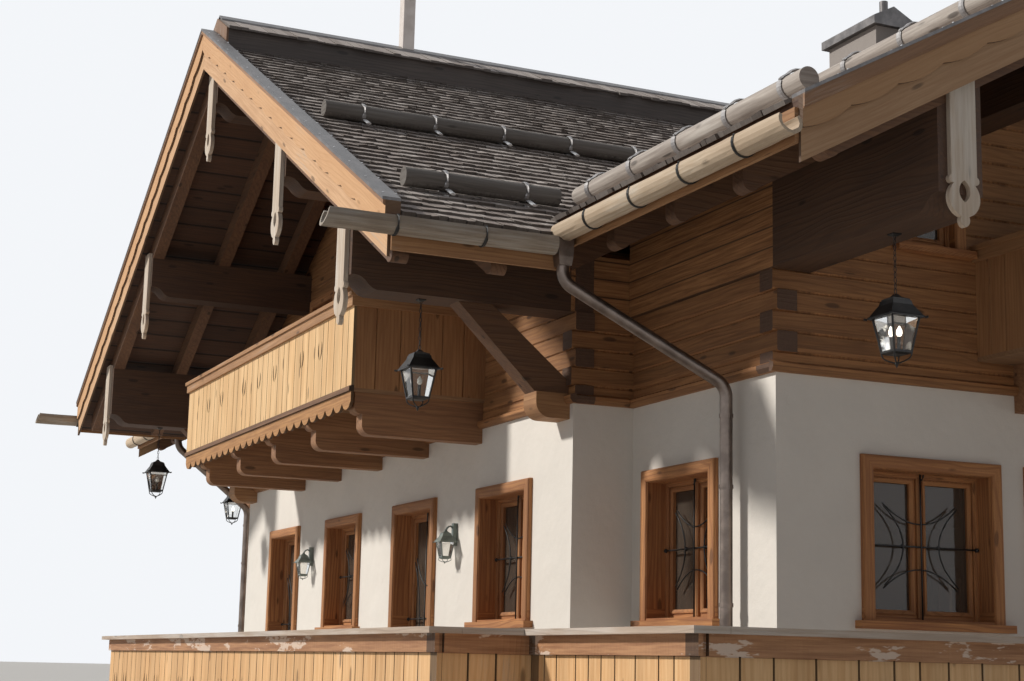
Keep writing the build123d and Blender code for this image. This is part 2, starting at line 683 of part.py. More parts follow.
def main_purlins():
    """Ridge, middle and eaves purlins of the main roof, from verge to verge, with carved ends."""
    start, end = FRONT_VERGE + PURLIN_SETBACK, BACK_VERGE - PURLIN_SETBACK
    outer = MAIN_HALF - EAVES_PURLIN_INSET
    sections = [eaves_purlin_section(outer, outer - EAVES_PURLIN_WIDTH, main_roof),
                inner_purlin_section(MAIN_MID_PURLIN, main_roof), inner_purlin_section(0, main_roof)]
    purlins = [
        carve_noses(prism([(x, start, z) for x, z in section], (0, end - start, 0)), ((start, -1), (end, 1)),
                    section[0][1], Plane.YZ)
        for section in sections
    ]
    return [*both_sides(*purlins[:2]), purlins[2]]


def wing_purlins():
    """Purlins of the right wing's roof, from inside the house to its verge, with carved ends."""
    end = WING_VERGE - PURLIN_SETBACK
    outer = WING_HALF - WING_PURLIN_INSET
    inner = VALLEY_TOP + INNER_PURLIN_WIDTH
    places = [(inner, inner_purlin_section(0, wing_roof))]
    for side in (-1, 1):
        eaves = eaves_purlin_section(side * outer, side * (outer - EAVES_PURLIN_WIDTH), wing_roof)
        places.append((MAIN_HALF - EAVES_PURLIN_INSET, eaves))
        places.append((inner + WING_MID_PURLIN, inner_purlin_section(side * WING_MID_PURLIN, wing_roof)))
    return [
        carve_noses(prism([(start, WING_RIDGE + v, z) for v, z in section], (end - start, 0, 0)), ((end, 1),),
                    section[0][1], Plane.XZ)
        for start, section in places
    ]


def rafter_places(first, last):
    """Even places for rafters between two ends, both kept."""
    count = max(2, round((last - first) / RAFTER_SPACING) + 1)
    return [first + (last - first) * i / (count - 1) for i in range(count)]


def rafter(run, roof_height):
    """Sketch of a rafter from the ridge to its rounded tail, as seen from the gable."""
    tail = run - RAFTER_TAIL_SETBACK
    top, foot = (roof_height(tail) - depth for depth in (ROOF_THICKNESS, ROOF_DEPTH))
    ridge_top, ridge_foot = (roof_height(SEAM) - depth for depth in (ROOF_THICKNESS, ROOF_DEPTH))
    inside = tail - RAFTER_TAIL_ROUND
    bend = roof_height(inside) - ROOF_DEPTH
    heel = (tail, foot + RAFTER_TAIL_ROUND)
    round_end = ThreePointArc((inside, bend), (tail - RAFTER_TAIL_ROUND * 0.27, foot + RAFTER_TAIL_ROUND * 0.4), heel)
    straight = Polyline(heel, (tail, top), (SEAM, ridge_top), (SEAM, ridge_foot), (inside, bend))
    return make_face(Curve() + [round_end, straight])


def rafter_nodes(wing_area):
    """Rafters on the purlins, cut at the valleys."""
    across = Plane(origin=(0, 0, 0), x_dir=(1, 0, 0), z_dir=(0, -1, 0))
    pattern = extrude(across * rafter(MAIN_RUN, main_roof), amount=-RAFTER_WIDTH)
    main = []
    for y in rafter_places(FRONT_VERGE + PURLIN_SETBACK, BACK_VERGE - PURLIN_SETBACK - RAFTER_WIDTH):
        main += both_sides(*(Pos(0, y, 0) * pattern - wing_area).solids())
    along = Plane(origin=(0, WING_RIDGE, 0), x_dir=(0, 1, 0), z_dir=(1, 0, 0))
    pattern = extrude(along * rafter(WING_RUN, wing_roof), amount=RAFTER_WIDTH)
    pair = [pattern, mirror(pattern, about=Plane.XZ.offset(-WING_RIDGE))]
    wing = []
    for x in rafter_places(MAIN_RUN - RAFTER_SPACING, WING_VERGE - PURLIN_SETBACK - RAFTER_WIDTH):
        for piece in pair:
            wing += both_sides(*((Pos(x, 0, 0) * piece) & wing_area).solids())
    return {"main_rafters": main, "wing_rafters": wing}


def barge_board(plane, side, run, roof_height):
    """Barge board: a straight board behind a shorter one with a scalloped lower edge."""
    back = [(SEAM, roof_height(SEAM)), (run, roof_height(run)), (run, roof_height(run) - BARGE_DEPTH),
            (SEAM, roof_height(SEAM) - BARGE_DEPTH)]
    board = panel(plane, [(side * u, v) for u, v in back], -GABLE_OVERHANG - BARGE_THICKNESS + BARGE_FACE_THICKNESS,
                  -GABLE_OVERHANG)
    top, tip = (Vector(side * u, roof_height(u) - BARGE_FACE_DEPTH) for u in (SEAM, run))
    count = round(run / SCALLOP_PITCH)
    cusps = [top + (tip - top) * (i / count) for i in range(count + 1)]
    scallops = [ThreePointArc(a, (a + b) / 2 - Vector(0, SCALLOP_DEPTH), b) for a, b in zip(cusps, cusps[1:])]
    sides = Polyline(tip, (side * run, roof_height(run)), (side * SEAM, roof_height(SEAM)), top)
    face = extrude(plane.offset(GABLE_OVERHANG + BARGE_THICKNESS - BARGE_FACE_THICKNESS)
                   * make_face(Curve() + [*scallops, sides]), amount=BARGE_FACE_THICKNESS)
    return board + face


def kerb(plane, side, run, roof_height, verge_height):
    """Raised strip behind a barge board that keeps the shingles' edge."""
    ends = [(SEAM, roof_height(SEAM)), (run, roof_height(run)), (run, verge_height(run)), (SEAM, verge_height(SEAM))]
    outline = [(side * u, v) for u, v in ends]
    return panel(plane, outline, -GABLE_OVERHANG, -GABLE_OVERHANG + KERB_WIDTH)


def flashing_outline(run, roof_height):
    """Strip of metal over a barge board as (place, height) points."""
    return [(SEAM, roof_height(SEAM)), (SEAM, roof_height(SEAM) + FLASHING_THICKNESS),
            (run, roof_height(run) + FLASHING_THICKNESS), (run, roof_height(run))]


def drop_outline(centre, top):
    """Right-hand half of a carved drop board: a shaft, a hook, a round belly and a knob."""
    half, shaft = DROP_WIDTH / 2, DROP_SHAFT / 2
    tip = top - DROP_LENGTH
    hook, waist, neck = tip + 0.33 * DROP_LENGTH, tip + 0.28 * DROP_LENGTH, tip + 2 * DROP_KNOB

    def at(u, v):
        return centre + u, v

    return Curve() + [
        Polyline(at(0, top), at(shaft, top), at(shaft, hook)),
        ThreePointArc(at(shaft, hook), at(half * 0.98, (hook + waist) / 2), at(half * 0.66, waist)),
        ThreePointArc(at(half * 0.66, waist), at(half, tip + 0.2 * DROP_LENGTH), at(half * 0.25, neck)),
        ThreePointArc(at(half * 0.25, neck), at(DROP_KNOB, tip + DROP_KNOB), at(0, tip)),
    ]


def drop_board(plane, centre, top):
    """Drop board with a pointed eye cut through its belly."""
    back = -GABLE_OVERHANG + PURLIN_SETBACK
    right = drop_outline(centre, top)
    left = mirror(right, about=Plane(origin=(centre, 0, 0), z_dir=(1, 0, 0)))
    board = extrude(plane.offset(-back) * make_face(Curve() + [*right.edges(), *left.edges()]), amount=DROP_THICKNESS)
    eye_foot, eye_top = (Vector(centre, top - DROP_LENGTH * 0.77 + side * DROP_EYE_HEIGHT / 2) for side in (-1, 1))
    cheeks = [ThreePointArc(eye_foot, (eye_foot + eye_top) / 2 + Vector(side * DROP_EYE_WIDTH / 2, 0), eye_top)
              for side in (-1, 1)]
    return board - extrude(plane * make_face(Curve() + cheeks), amount=2 * GABLE_OVERHANG)


def verge_nodes():
    """Barge boards, the metal strips over them and the drop boards at the purlins' ends."""
    barges, strips, drops = [], [], []
    below = ROOF_THICKNESS + ROOF_RISE * DROP_WIDTH / 2
    main_places = [0, MAIN_MID_PURLIN, MAIN_HALF - EAVES_PURLIN_INSET - EAVES_PURLIN_WIDTH / 2]
    main_drops = [(place, main_roof(place) - below) for c in main_places for place in sorted({c, -c})]
    for plane in (FRONT, BACK):
        for side in (-1, 1):
            barges.append(barge_board(plane, side, MAIN_RUN, main_verge)
                          + kerb(plane, side, MAIN_RUN, main_roof, main_verge))
            outline = [(side * u, v) for u, v in flashing_outline(MAIN_RUN, main_verge)]
            strips.append(panel(plane, outline, -GABLE_OVERHANG - BARGE_THICKNESS - FLASHING_THICKNESS,
                                -GABLE_OVERHANG - BARGE_THICKNESS - FLASHING_THICKNESS + FLASHING_WIDTH))
        for centre, top in main_drops:
            drops.append(drop_board(plane, centre, top))
    wing_places = [0, WING_MID_PURLIN, WING_HALF - WING_PURLIN_INSET - EAVES_PURLIN_WIDTH / 2]
    wing_drops = [(place, wing_roof(place) - below) for c in wing_places for place in sorted({c, -c})]
    for side in (-1, 1):
        barges += both_sides(barge_board(WING_GABLE, side, WING_RUN, wing_verge)
                             + kerb(WING_GABLE, side, WING_RUN, wing_roof, wing_verge))
        outline = [(side * u, v) for u, v in flashing_outline(WING_RUN, wing_verge)]
        strips += both_sides(panel(WING_GABLE, outline, -GABLE_OVERHANG - BARGE_THICKNESS - FLASHING_THICKNESS,
                                   -GABLE_OVERHANG - BARGE_THICKNESS - FLASHING_THICKNESS + FLASHING_WIDTH))
    for centre, top in wing_drops:
        drops += both_sides(drop_board(WING_GABLE, centre, top))
    return {"barge_boards": barges, "verge_flashings": strips, "drop_boards": drops}


def brace_nodes(nodes):
    """Diagonal braces under the main eaves purlins' ends, and the corbels that carry them."""
    outer = MAIN_HALF - EAVES_PURLIN_INSET
    x0, x1 = outer - (EAVES_PURLIN_WIDTH + BRACE_WIDTH) / 2, outer - (EAVES_PURLIN_WIDTH - BRACE_WIDTH) / 2
    seat = LOG_BASE + LEDGE_HEIGHT
    top = WALL_TOP
    rise = (top - seat) / (BRACE_REACH - BRACE_THICKNESS)
    thickness = BRACE_THICKNESS * hypot(1, rise)
    side = [(0, seat), (-CORBEL_REACH, seat), (-BRACE_REACH, top), (-BRACE_REACH + thickness, top),
            (0, seat + thickness * 0.35)]
    brace = prism([(x0, y, z) for y, z in side], (x1 - x0, 0, 0))
    foot = seat - CORBEL_HEIGHT - LEDGE_HEIGHT
    heel = rounded_heel(foot, CORBEL_REACH, CORBEL_HEIGHT)
    straight = Polyline(heel @ 1, (CORBEL_REACH, seat), (0, seat), (0, foot), heel @ 0)
    block_under = carried(FRONT, x0 - CORBEL_LAP, x1 + CORBEL_LAP, Curve() + [heel, straight])
    walls = nodes["main_log_gables"] + nodes["main_side_log_walls"]
    at_back = [mirror(piece, about=Plane.XZ.offset(-MAIN_LENGTH / 2)) for piece in (brace, block_under)]
    return {
        "eaves_braces": [piece - walls for piece in both_sides(brace, at_back[0])],
        "brace_corbels": [piece - walls for piece in both_sides(block_under, at_back[1])],
    }


@dataclass(frozen=True)
class Balcony:
    """Balcony on cantilever beams, placed on a wall face."""

    plane: Plane
    centre: float
    width: float

    @property
    def ends(self):
        """Places of its two ends along the wall."""
        return self.centre - self.width / 2, self.centre + self.width / 2

    @property
    def beam_places(self):
        """Places of the beams' left faces, counted from the right end."""
        left, right = self.ends
        count = floor((self.width - 2 * BALCONY_BOARD - BEAM_WIDTH) / BEAM_SPACING) + 1
        return [right - BALCONY_BOARD - BEAM_WIDTH - BEAM_SPACING * i for i in range(count)]

    @property
    def lyre_places(self):
        """Places of the cut-outs from the middle: a group of three, then pairs further out."""
        places = [0, -LYRE_PITCH, LYRE_PITCH]
        pair = LYRE_PITCH + LYRE_GROUP_GAP
        while pair + LYRE_PITCH + LYRE_WIDTH < self.width / 2:
            places += [side * (pair + step) for side in (-1, 1) for step in (0, LYRE_PITCH)]
            pair += LYRE_PITCH + LYRE_GROUP_GAP
        return places

    def section(self, points, u0, u1):
        """Outline across the balcony, as (reach, height) points, carried along the wall."""
        corners = [self.plane.from_local_coords(Vector(u0, v, w)) for w, v in points]
        away = self.plane.from_local_coords(Vector(u1, 0, 0)) - self.plane.from_local_coords(Vector(u0, 0, 0))
        return Solid.extrude(Face(Wire.make_polygon(corners, close=True)), away)

    def beams(self):
        """Pairs of beams, the lower one shorter, with carved ends."""
        top = BALCONY_FLOOR_TOP - BALCONY_FLOOR_THICKNESS
        middle, foot = top - UPPER_BEAM_HEIGHT, top - UPPER_BEAM_HEIGHT - LOWER_BEAM_HEIGHT
        reach = BALCONY_DEPTH - UPPER_BEAM_SETBACK
        upper = rounded_heel(middle, reach, UPPER_BEAM_ROUND)
        lower = rounded_heel(foot, BALCONY_DEPTH - LOWER_BEAM_SETBACK, LOWER_BEAM_ROUND)
        between = Polyline(lower @ 1, (BALCONY_DEPTH - LOWER_BEAM_SETBACK, middle), upper @ 0)
        back = Polyline(upper @ 1, (reach, top), (0, top), (0, foot), lower @ 0)
        outline = Curve() + [lower, between, upper, back]
        return [carried(self.plane, u, u + BEAM_WIDTH, outline) for u in self.beam_places]

    def floor(self):
        """Floor boards on the beams."""
        left, right = self.ends
        top = BALCONY_FLOOR_TOP
        points = [(0, top), (BALCONY_DEPTH - BALCONY_BOARD, top),
                  (BALCONY_DEPTH - BALCONY_BOARD, top - BALCONY_FLOOR_THICKNESS), (0, top - BALCONY_FLOOR_THICKNESS)]
        return self.section(points, left, right)

    def front(self):
        """Front boards with a trim and a fringe of teeth at their foot."""
        left, right = self.ends
        teeth = max(3, round(self.width / TOOTH_WIDTH))
        pitch = self.width / teeth
        foot = []
        for i in range(teeth):
            notch, next_notch = left + pitch * i, left + pitch * (i + 1)
            shoulder, shoulder_height = pitch * 0.2, FRINGE_BOTTOM + TOOTH_DEPTH * 0.3
            foot += [Line((notch, FRINGE_BOTTOM + TOOTH_DEPTH), (notch + shoulder, shoulder_height)),
                     ThreePointArc((notch + shoulder, shoulder_height), ((notch + next_notch) / 2, FRINGE_BOTTOM),
                                   (next_notch - shoulder, shoulder_height)),
                     Line((next_notch - shoulder, shoulder_height), (next_notch, FRINGE_BOTTOM + TOOTH_DEPTH))]
        above = Polyline((right, FRINGE_BOTTOM + TOOTH_DEPTH), (right, RAIL_UNDERSIDE), (left, RAIL_UNDERSIDE),
                         (left, FRINGE_BOTTOM + TOOTH_DEPTH))
        face = self.plane.offset(BALCONY_DEPTH - BALCONY_BOARD) * make_face(Curve() + [*foot, above])
        boards = extrude(face, amount=BALCONY_BOARD)
        trim = rectangle(left, right, TRIM_TOP - TRIM_HEIGHT, TRIM_TOP)
        boards += panel(self.plane, trim, -BALCONY_DEPTH - TRIM_PROUD, -BALCONY_DEPTH)
        lyres = [lyre(self.centre + place, LYRE_CENTRE) for place in self.lyre_places]
        return boards - extrude(self.plane * (Sketch() + lyres), amount=2 * BALCONY_DEPTH)

    def end_boards(self):
        """Boards across the two ends, standing on the floor's edge beams."""
        left, right = self.ends
        top = BALCONY_FLOOR_TOP
        points = [(0, top), (BALCONY_DEPTH - BALCONY_BOARD, top),
                  (BALCONY_DEPTH - BALCONY_BOARD, RAIL_UNDERSIDE), (0, RAIL_UNDERSIDE)]
        return [self.section(points, left, left + BALCONY_BOARD),
                self.section(points, right - BALCONY_BOARD, right)]

    def rail(self):
        """Cap board over an edge board, round the three open sides."""
        left, right = self.ends
        lap = RAIL_FASCIA + 20
        inner = RAIL_CAP_WIDTH - lap
        cap = rectangle(left - lap, right + lap, 0, BALCONY_DEPTH + lap)
        hole = rectangle(left + inner, right - inner, -BALCONY_DEPTH, BALCONY_DEPTH - inner)
        ring = self.flat(cap, RAIL_TOP - RAIL_CAP, RAIL_TOP) - self.flat(hole, RAIL_UNDERSIDE, 2 * RAIL_TOP)
        outer = rectangle(left - RAIL_FASCIA, right + RAIL_FASCIA, 0, BALCONY_DEPTH + RAIL_FASCIA)
        inner_edge = rectangle(left + BALCONY_BOARD, right - BALCONY_BOARD, -BALCONY_DEPTH,
                               BALCONY_DEPTH - BALCONY_BOARD)
        edge = self.flat(outer, RAIL_UNDERSIDE, RAIL_TOP - RAIL_CAP)
        return ring + (edge - self.flat(inner_edge, RAIL_UNDERSIDE - 50, 2 * RAIL_TOP))

    def flat(self, outline, bottom, top):
        """Level outline, as (place, reach) points, between two heights."""
        corners = [self.plane.from_local_coords(Vector(u, bottom, w)) for u, w in outline]
        return Solid.extrude(Face(Wire.make_polygon(corners, close=True)), Vector(0, 0, top - bottom))


FRONT_BALCONY = Balcony(FRONT, FRONT_BALCONY_CENTRE, FRONT_BALCONY_WIDTH)
WING_BALCONY = Balcony(WING_GABLE, 0, WING_BALCONY_WIDTH)


def balcony_nodes():
    """The pieces of the front balcony and of the balcony on each wing."""
    return {
        "balcony_beams": [*FRONT_BALCONY.beams(), *both_sides(*WING_BALCONY.beams())],
        "balcony_floors": [FRONT_BALCONY.floor(), *both_sides(WING_BALCONY.floor())],
        "balcony_fronts": [FRONT_BALCONY.front(), *both_sides(WING_BALCONY.front())],
        "balcony_ends": [*FRONT_BALCONY.end_boards(), *both_sides(*WING_BALCONY.end_boards())],
        "balcony_rails": [FRONT_BALCONY.rail(), *both_sides(WING_BALCONY.rail())],
    }


def trough(plane, length):
    """Hollowed-log gutter along a plane's normal, cut open over its axis."""
    ring = Circle(GUTTER_RADIUS) - Circle(GUTTER_RADIUS - GUTTER_WALL)
    below_rim = Pos(0, GUTTER_RIM - GUTTER_RADIUS) * Rectangle(4 * GUTTER_RADIUS, 2 * GUTTER_RADIUS)
    return extrude(plane * (ring & below_rim), amount=length)


def gutter_nodes():
    """Wooden gutters on the eaves boards and the pipes that drain them."""
    axis = MAIN_RUN + EAVES_BOARD_THICKNESS + GUTTER_RADIUS
    wing_axis = WING_EAVES_FRONT - EAVES_BOARD_THICKNESS - GUTTER_RADIUS
    stop = wing_axis - GUTTER_RADIUS - SEAM
    start = FRONT_VERGE - GUTTER_REACH
    level = Plane(origin=(axis, start, GUTTER_AXIS), x_dir=(-1, 0, 0), z_dir=(0, 1, 0))
    front = trough(level, stop - start)
    inside = MAIN_RUN + EAVES_BOARD_THICKNESS + SEAM
    wing_length = WING_VERGE + WING_GUTTER_REACH - inside
    across = Plane(origin=(inside, wing_axis, WING_GUTTER_AXIS), x_dir=(0, 1, 0), z_dir=(1, 0, 0))
    wing_front = trough(across, wing_length)
    wing_back = mirror(wing_front, about=Plane.XZ.offset(-WING_RIDGE))
    back = mirror(front, about=Plane.XZ.offset(-MAIN_LENGTH / 2))
    back_stop = WING_EAVES_BACK + EAVES_BOARD_THICKNESS + 2 * GUTTER_RADIUS + SEAM
    back = back & block(0, 2 * WING_VERGE, back_stop, 2 * MAIN_LENGTH, 0, 2 * GUTTER_AXIS)
    foot_x = WING_END - PIPE_FOOT_INSET
    foot_y = WING_SETBACK - LEDGE_DEPTH - PIPE_WALL_GAP - PIPE_RADIUS
    head_x = inside + PIPE_RADIUS
    path = FilletPolyline(
        (head_x, wing_axis, WING_GUTTER_AXIS - GUTTER_RADIUS + GUTTER_WALL),
        (head_x, wing_axis, GUTTER_AXIS - GUTTER_RADIUS - PIPE_NECK),
        (foot_x, foot_y, LOG_BASE - 50), (foot_x, foot_y, 0), radius=PIPE_BEND,
    )
    section = Plane(origin=path @ 0, z_dir=path % 0) * Circle(PIPE_RADIUS)
    pipe = sweep(section, path=path)
    body = Plane(origin=(inside - 100, wing_axis, WING_GUTTER_AXIS), x_dir=(0, 1, 0), z_dir=(1, 0, 0))
    pipe = pipe - extrude(body * Circle(GUTTER_RADIUS), amount=wing_length + 200)
    pipe_back = mirror(pipe, about=Plane.XZ.offset(-WING_RIDGE))
    return {
        "gutters": both_sides(front, back, wing_front, wing_back),
        "downpipes": both_sides(pipe, pipe_back),
    }


def guard_rows():
    """Logs that hold the snow, each on a row of brackets; every row lies along the eaves."""
    logs, brackets = [], []
    lift = (GUARD_STAND + GUARD_RADIUS) * hypot(1, ROOF_RISE)
    plumb_stand = GUARD_STAND * hypot(1, ROOF_RISE)
    for run in MAIN_GUARD_RUNS:
        x = MAIN_RUN - run
        into_valley = run - WING_RAISE / ROOF_RISE - GUARD_VALLEY_GAP
        front_end, back_start = WING_EAVES_FRONT + into_valley, WING_EAVES_BACK - into_valley
        for y0, y1 in ((FRONT_VERGE + 350, front_end), (back_start, BACK_VERGE - 350)):
            axis = Plane(origin=(x, y0, main_roof(x) + lift), x_dir=(1, 0, 0), z_dir=(0, 1, 0))
            logs += both_sides(extrude(axis * Circle(GUARD_RADIUS), amount=y1 - y0))
            count = floor((y1 - y0 - GUARD_BRACKET) / GUARD_SPACING) + 1
            for i in range(count):
                y = y0 + (y1 - y0 - GUARD_SPACING * (count - 1)) / 2 + GUARD_SPACING * i
                plate = main_strip(x - GUARD_RADIUS, x + GUARD_RADIUS, -plumb_stand, 0, y, y + GUARD_BRACKET)
                brackets += both_sides(plate)
    for run, setback in zip(WING_GUARD_RUNS, WING_GUARD_SETBACKS):
        v = WING_RUN - run
        x0, x1 = VALLEY_FOOT - run + GUARD_VALLEY_GAP, WING_VERGE - setback
        for side in (-1, 1):
            axis = Plane(origin=(x0, WING_RIDGE + side * v, wing_roof(v) + lift), x_dir=(0, 1, 0), z_dir=(1, 0, 0))
            logs += both_sides(extrude(axis * Circle(GUARD_RADIUS), amount=x1 - x0))
            count = floor((x1 - x0 - GUARD_BRACKET) / GUARD_SPACING) + 1
            for i in range(count):
                x = x0 + (x1 - x0 - GUARD_SPACING * (count - 1)) / 2 + GUARD_SPACING * i
                plate = wing_strip(side * (v - GUARD_RADIUS), side * (v + GUARD_RADIUS), -plumb_stand, 0,
                                   x, x + GUARD_BRACKET)
                brackets += both_sides(plate)
    return {"snow_guard_logs": logs, "snow_guard_brackets": brackets}


def chimney_nodes(nodes):
    """Rendered chimney astride the right wing's ridge, its saddle cap with a pipe, and the slim ridge flue."""
    x0, x1 = CHIMNEY_END - CHIMNEY_LENGTH, CHIMNEY_END
    half = CHIMNEY_WIDTH / 2
    body = block(x0, x1, WING_RIDGE - half, WING_RIDGE + half, EAVES_TOP, CHIMNEY_TOP)
    below = prism(
        [(0, WING_RIDGE - WING_RUN, 0), (0, WING_RIDGE - WING_RUN, wing_roof(WING_RUN) + RIDGE_CAP_RISE),
         (0, WING_RIDGE, wing_roof(0) + RIDGE_CAP_RISE),
         (0, WING_RIDGE + WING_RUN, wing_roof(WING_RUN) + RIDGE_CAP_RISE), (0, WING_RIDGE + WING_RUN, 0)],
        (WING_VERGE, 0, 0),
    )
    body = body - below
    lap = CHIMNEY_CAP_OVERHANG
    edge = CHIMNEY_TOP + CHIMNEY_CAP_EDGE
    cap = prism(
        [(x0 - lap, WING_RIDGE - half - lap, CHIMNEY_TOP), (x0 - lap, WING_RIDGE - half - lap, edge),
         (x0 - lap, WING_RIDGE, edge + CHIMNEY_CAP_RISE), (x0 - lap, WING_RIDGE + half + lap, edge),
         (x0 - lap, WING_RIDGE + half + lap, CHIMNEY_TOP)],
        (CHIMNEY_LENGTH + 2 * lap, 0, 0),
    )
    pipe = Cylinder(CHIMNEY_PIPE_RADIUS, 2 * CHIMNEY_PIPE_HEIGHT)
    cap += Pos(x1 + lap - CHIMNEY_PIPE_PLACE, WING_RIDGE, edge + CHIMNEY_CAP_RISE) * pipe
    y0 = FLUE_PLACE - FLUE_SIDE / 2
    seat = main_roof(0) + RIDGE_CAP_RISE
    flue = block(-FLUE_SIDE / 2, FLUE_SIDE / 2, y0, y0 + FLUE_SIDE, seat - 3 * FLUE_CAP, seat + FLUE_HEIGHT)
    flue += block(-FLUE_SIDE / 2 - FLUE_CAP, FLUE_SIDE / 2 + FLUE_CAP, y0 - FLUE_CAP, y0 + FLUE_SIDE + FLUE_CAP,
                  seat + FLUE_HEIGHT, seat + FLUE_HEIGHT + FLUE_CAP)
    flue -= nodes["ridge_caps"][0]
    return {"chimney": [body], "chimney_cap": [cap], "ridge_flue": [flue]}


def square_frustum(centre, z0, width0, z1, width1):
    """Square block that widens or narrows from one height to another."""
    rings = [Pos(centre[0], centre[1], z) * Rectangle(width, width) for z, width in ((z0, width0), (z1, width1))]
    return loft(Sketch() + rings, ruled=True)


def hanging_lantern(x, y, hook):
    """Four-sided lantern on a chain under a purlin."""
    top = hook - LANTERN_CHAIN
    eaves = top - LANTERN_ROOF
    foot = eaves - LANTERN_GLASS
    half = LANTERN_CHAIN_WIDTH / 2
    lantern = block(x - half, x + half, y - half, y + half, top - 20, hook)
    lantern += square_frustum((x, y), eaves, LANTERN_ROOF_WIDTH, top, LANTERN_ROOF_WIDTH * 0.25)
    lantern += square_frustum((x, y), foot, LANTERN_BASE_WIDTH, eaves, LANTERN_WIDTH)
    finial = square_frustum((x, y), foot - LANTERN_FINIAL, LANTERN_CHAIN_WIDTH * 2, foot, LANTERN_BASE_WIDTH * 0.5)
    return lantern + finial


def wall_lantern(centre):
    """Lantern on a bracket plate on the front wall."""
    foot, half = WALL_LANTERN_BASE, WALL_LANTERN_WIDTH / 2
    y = -half - 45
    roof = foot + WALL_LANTERN_HEIGHT * 0.68
    lantern = square_frustum((centre, y), foot, WALL_LANTERN_WIDTH * 0.62, roof, WALL_LANTERN_WIDTH * 0.86)
    lantern += square_frustum((centre, y), roof, WALL_LANTERN_WIDTH, foot + WALL_LANTERN_HEIGHT,
                              WALL_LANTERN_WIDTH * 0.3)
    lantern += block(centre - 25, centre + 25, y, 0, roof + 10, roof + 60)
    return lantern + block(centre - 40, centre + 40, -12, 0, roof - 60, roof + 90)


def lantern_node():
    """Lanterns under the front ends of the eaves purlins and on the front wall."""
    main_x = MAIN_HALF - EAVES_PURLIN_INSET - EAVES_PURLIN_WIDTH / 2
    wing_y = WING_SETBACK + WING_PURLIN_INSET + EAVES_PURLIN_WIDTH / 2
    main = hanging_lantern(main_x, -MAIN_LANTERN_PLACE, WALL_TOP)
    wing = hanging_lantern(WING_END + WING_LANTERN_PLACE, wing_y, WALL_TOP)
    on_wall = [wall_lantern(FRONT_WINDOW_LAST - FRONT_WINDOW_PITCH * (i + 0.5)) for i in (0, 2)]
    return {"lanterns": [*both_sides(main, wing), *on_wall]}


def terrace_lyres(plane, places):
    """Cutter for lyres through a terrace panel whose outer face lies on a plane."""
    lyres = [lyre(place, TERRACE_LYRE_CENTRE) for place in places]
    return extrude(plane * (Sketch() + lyres), amount=4 * TERRACE_BOARD, both=True)


def terrace_nodes():
    """Board balustrade round the terrace: posts, boarded panels and cap planks."""
    corner_x, corner_y = MAIN_HALF + TERRACE_CORNER, -TERRACE_FRONT
    outer_x, jog_y = WING_END + TERRACE_SIDE, WING_SETBACK - TERRACE_FRONT
    end_y = jog_y + TERRACE_BAY * TERRACE_BAYS
    board, top = TERRACE_BOARD, TERRACE_TOP - TERRACE_CAP
    panels = [
        block(TERRACE_START, corner_x, corner_y, corner_y + board, TERRACE_BOARD_FOOT, top),
        block(corner_x - board, corner_x, corner_y + board + SEAM, jog_y - SEAM, TERRACE_BOARD_FOOT, top),
        block(corner_x - board, outer_x, jog_y, jog_y + board, TERRACE_BOARD_FOOT, top),
        block(outer_x - board, outer_x, jog_y + board + SEAM, end_y, TERRACE_BOARD_FOOT, top),
    ]
    count = floor((corner_x - TERRACE_START - 2 * TERRACE_LYRE_MARGIN) / TERRACE_LYRE_PITCH) + 1
    pairs = [corner_x - TERRACE_LYRE_MARGIN - TERRACE_LYRE_PITCH * i for i in range(count)]
    along = [place + side * TERRACE_LYRE_PAIR / 2 for place in pairs for side in (-1, 1)]
    panels[0] -= terrace_lyres(Plane(origin=(0, corner_y, 0), x_dir=(1, 0, 0), z_dir=(0, -1, 0)), along)
    panels[2] -= terrace_lyres(Plane(origin=(0, jog_y, 0), x_dir=(1, 0, 0), z_dir=(0, -1, 0)),
                               [(corner_x + outer_x) / 2])
    proud, foot = TERRACE_FASCIA_THICKNESS, TERRACE_BOARD_FOOT
    for bottom, height in ((top - TERRACE_FASCIA, TERRACE_FASCIA), (foot, TERRACE_FOOT_BOARD)):
        panels[0] += block(TERRACE_START, corner_x + proud, corner_y - proud, corner_y, bottom, bottom + height)
        panels[1] += block(corner_x, corner_x + proud, corner_y + board + SEAM, jog_y - proud - SEAM, bottom,
                           bottom + height)
        panels[2] += block(corner_x + SEAM, outer_x + proud, jog_y - proud, jog_y, bottom, bottom + height)
        panels[3] += block(outer_x, outer_x + proud, jog_y + board + SEAM, end_y, bottom, bottom + height)
    lap = (TERRACE_CAP_WIDTH - board) / 2
    caps = [
        block(TERRACE_START - lap, corner_x + lap, corner_y - lap, corner_y + board + lap, top, TERRACE_TOP),
        block(corner_x - board - lap, corner_x + lap, corner_y + board + lap + SEAM, jog_y - lap - SEAM, top,
              TERRACE_TOP),
        block(corner_x - board - lap, outer_x + lap, jog_y - lap, jog_y + board + lap, top, TERRACE_TOP),
        block(outer_x - board - lap, outer_x + lap, jog_y + board + lap + SEAM, end_y + lap, top, TERRACE_TOP),
    ]
    post = TERRACE_POST
    count = round((corner_x - TERRACE_START) / TERRACE_BAY)
    spots = [(TERRACE_START + (corner_x - board - post - TERRACE_START) * i / count, corner_y + board)
             for i in range(count + 1)]
    spots.append((outer_x - board - post, jog_y + board))
    spots += [(outer_x - board - post, jog_y + board + TERRACE_BAY * (i + 1) - post - board)
              for i in range(TERRACE_BAYS)]
    posts = [block(x, x + post, y, y + post, 0, top) for x, y in spots]
    return {"terrace_panels": panels, "terrace_caps": caps, "terrace_posts": posts}


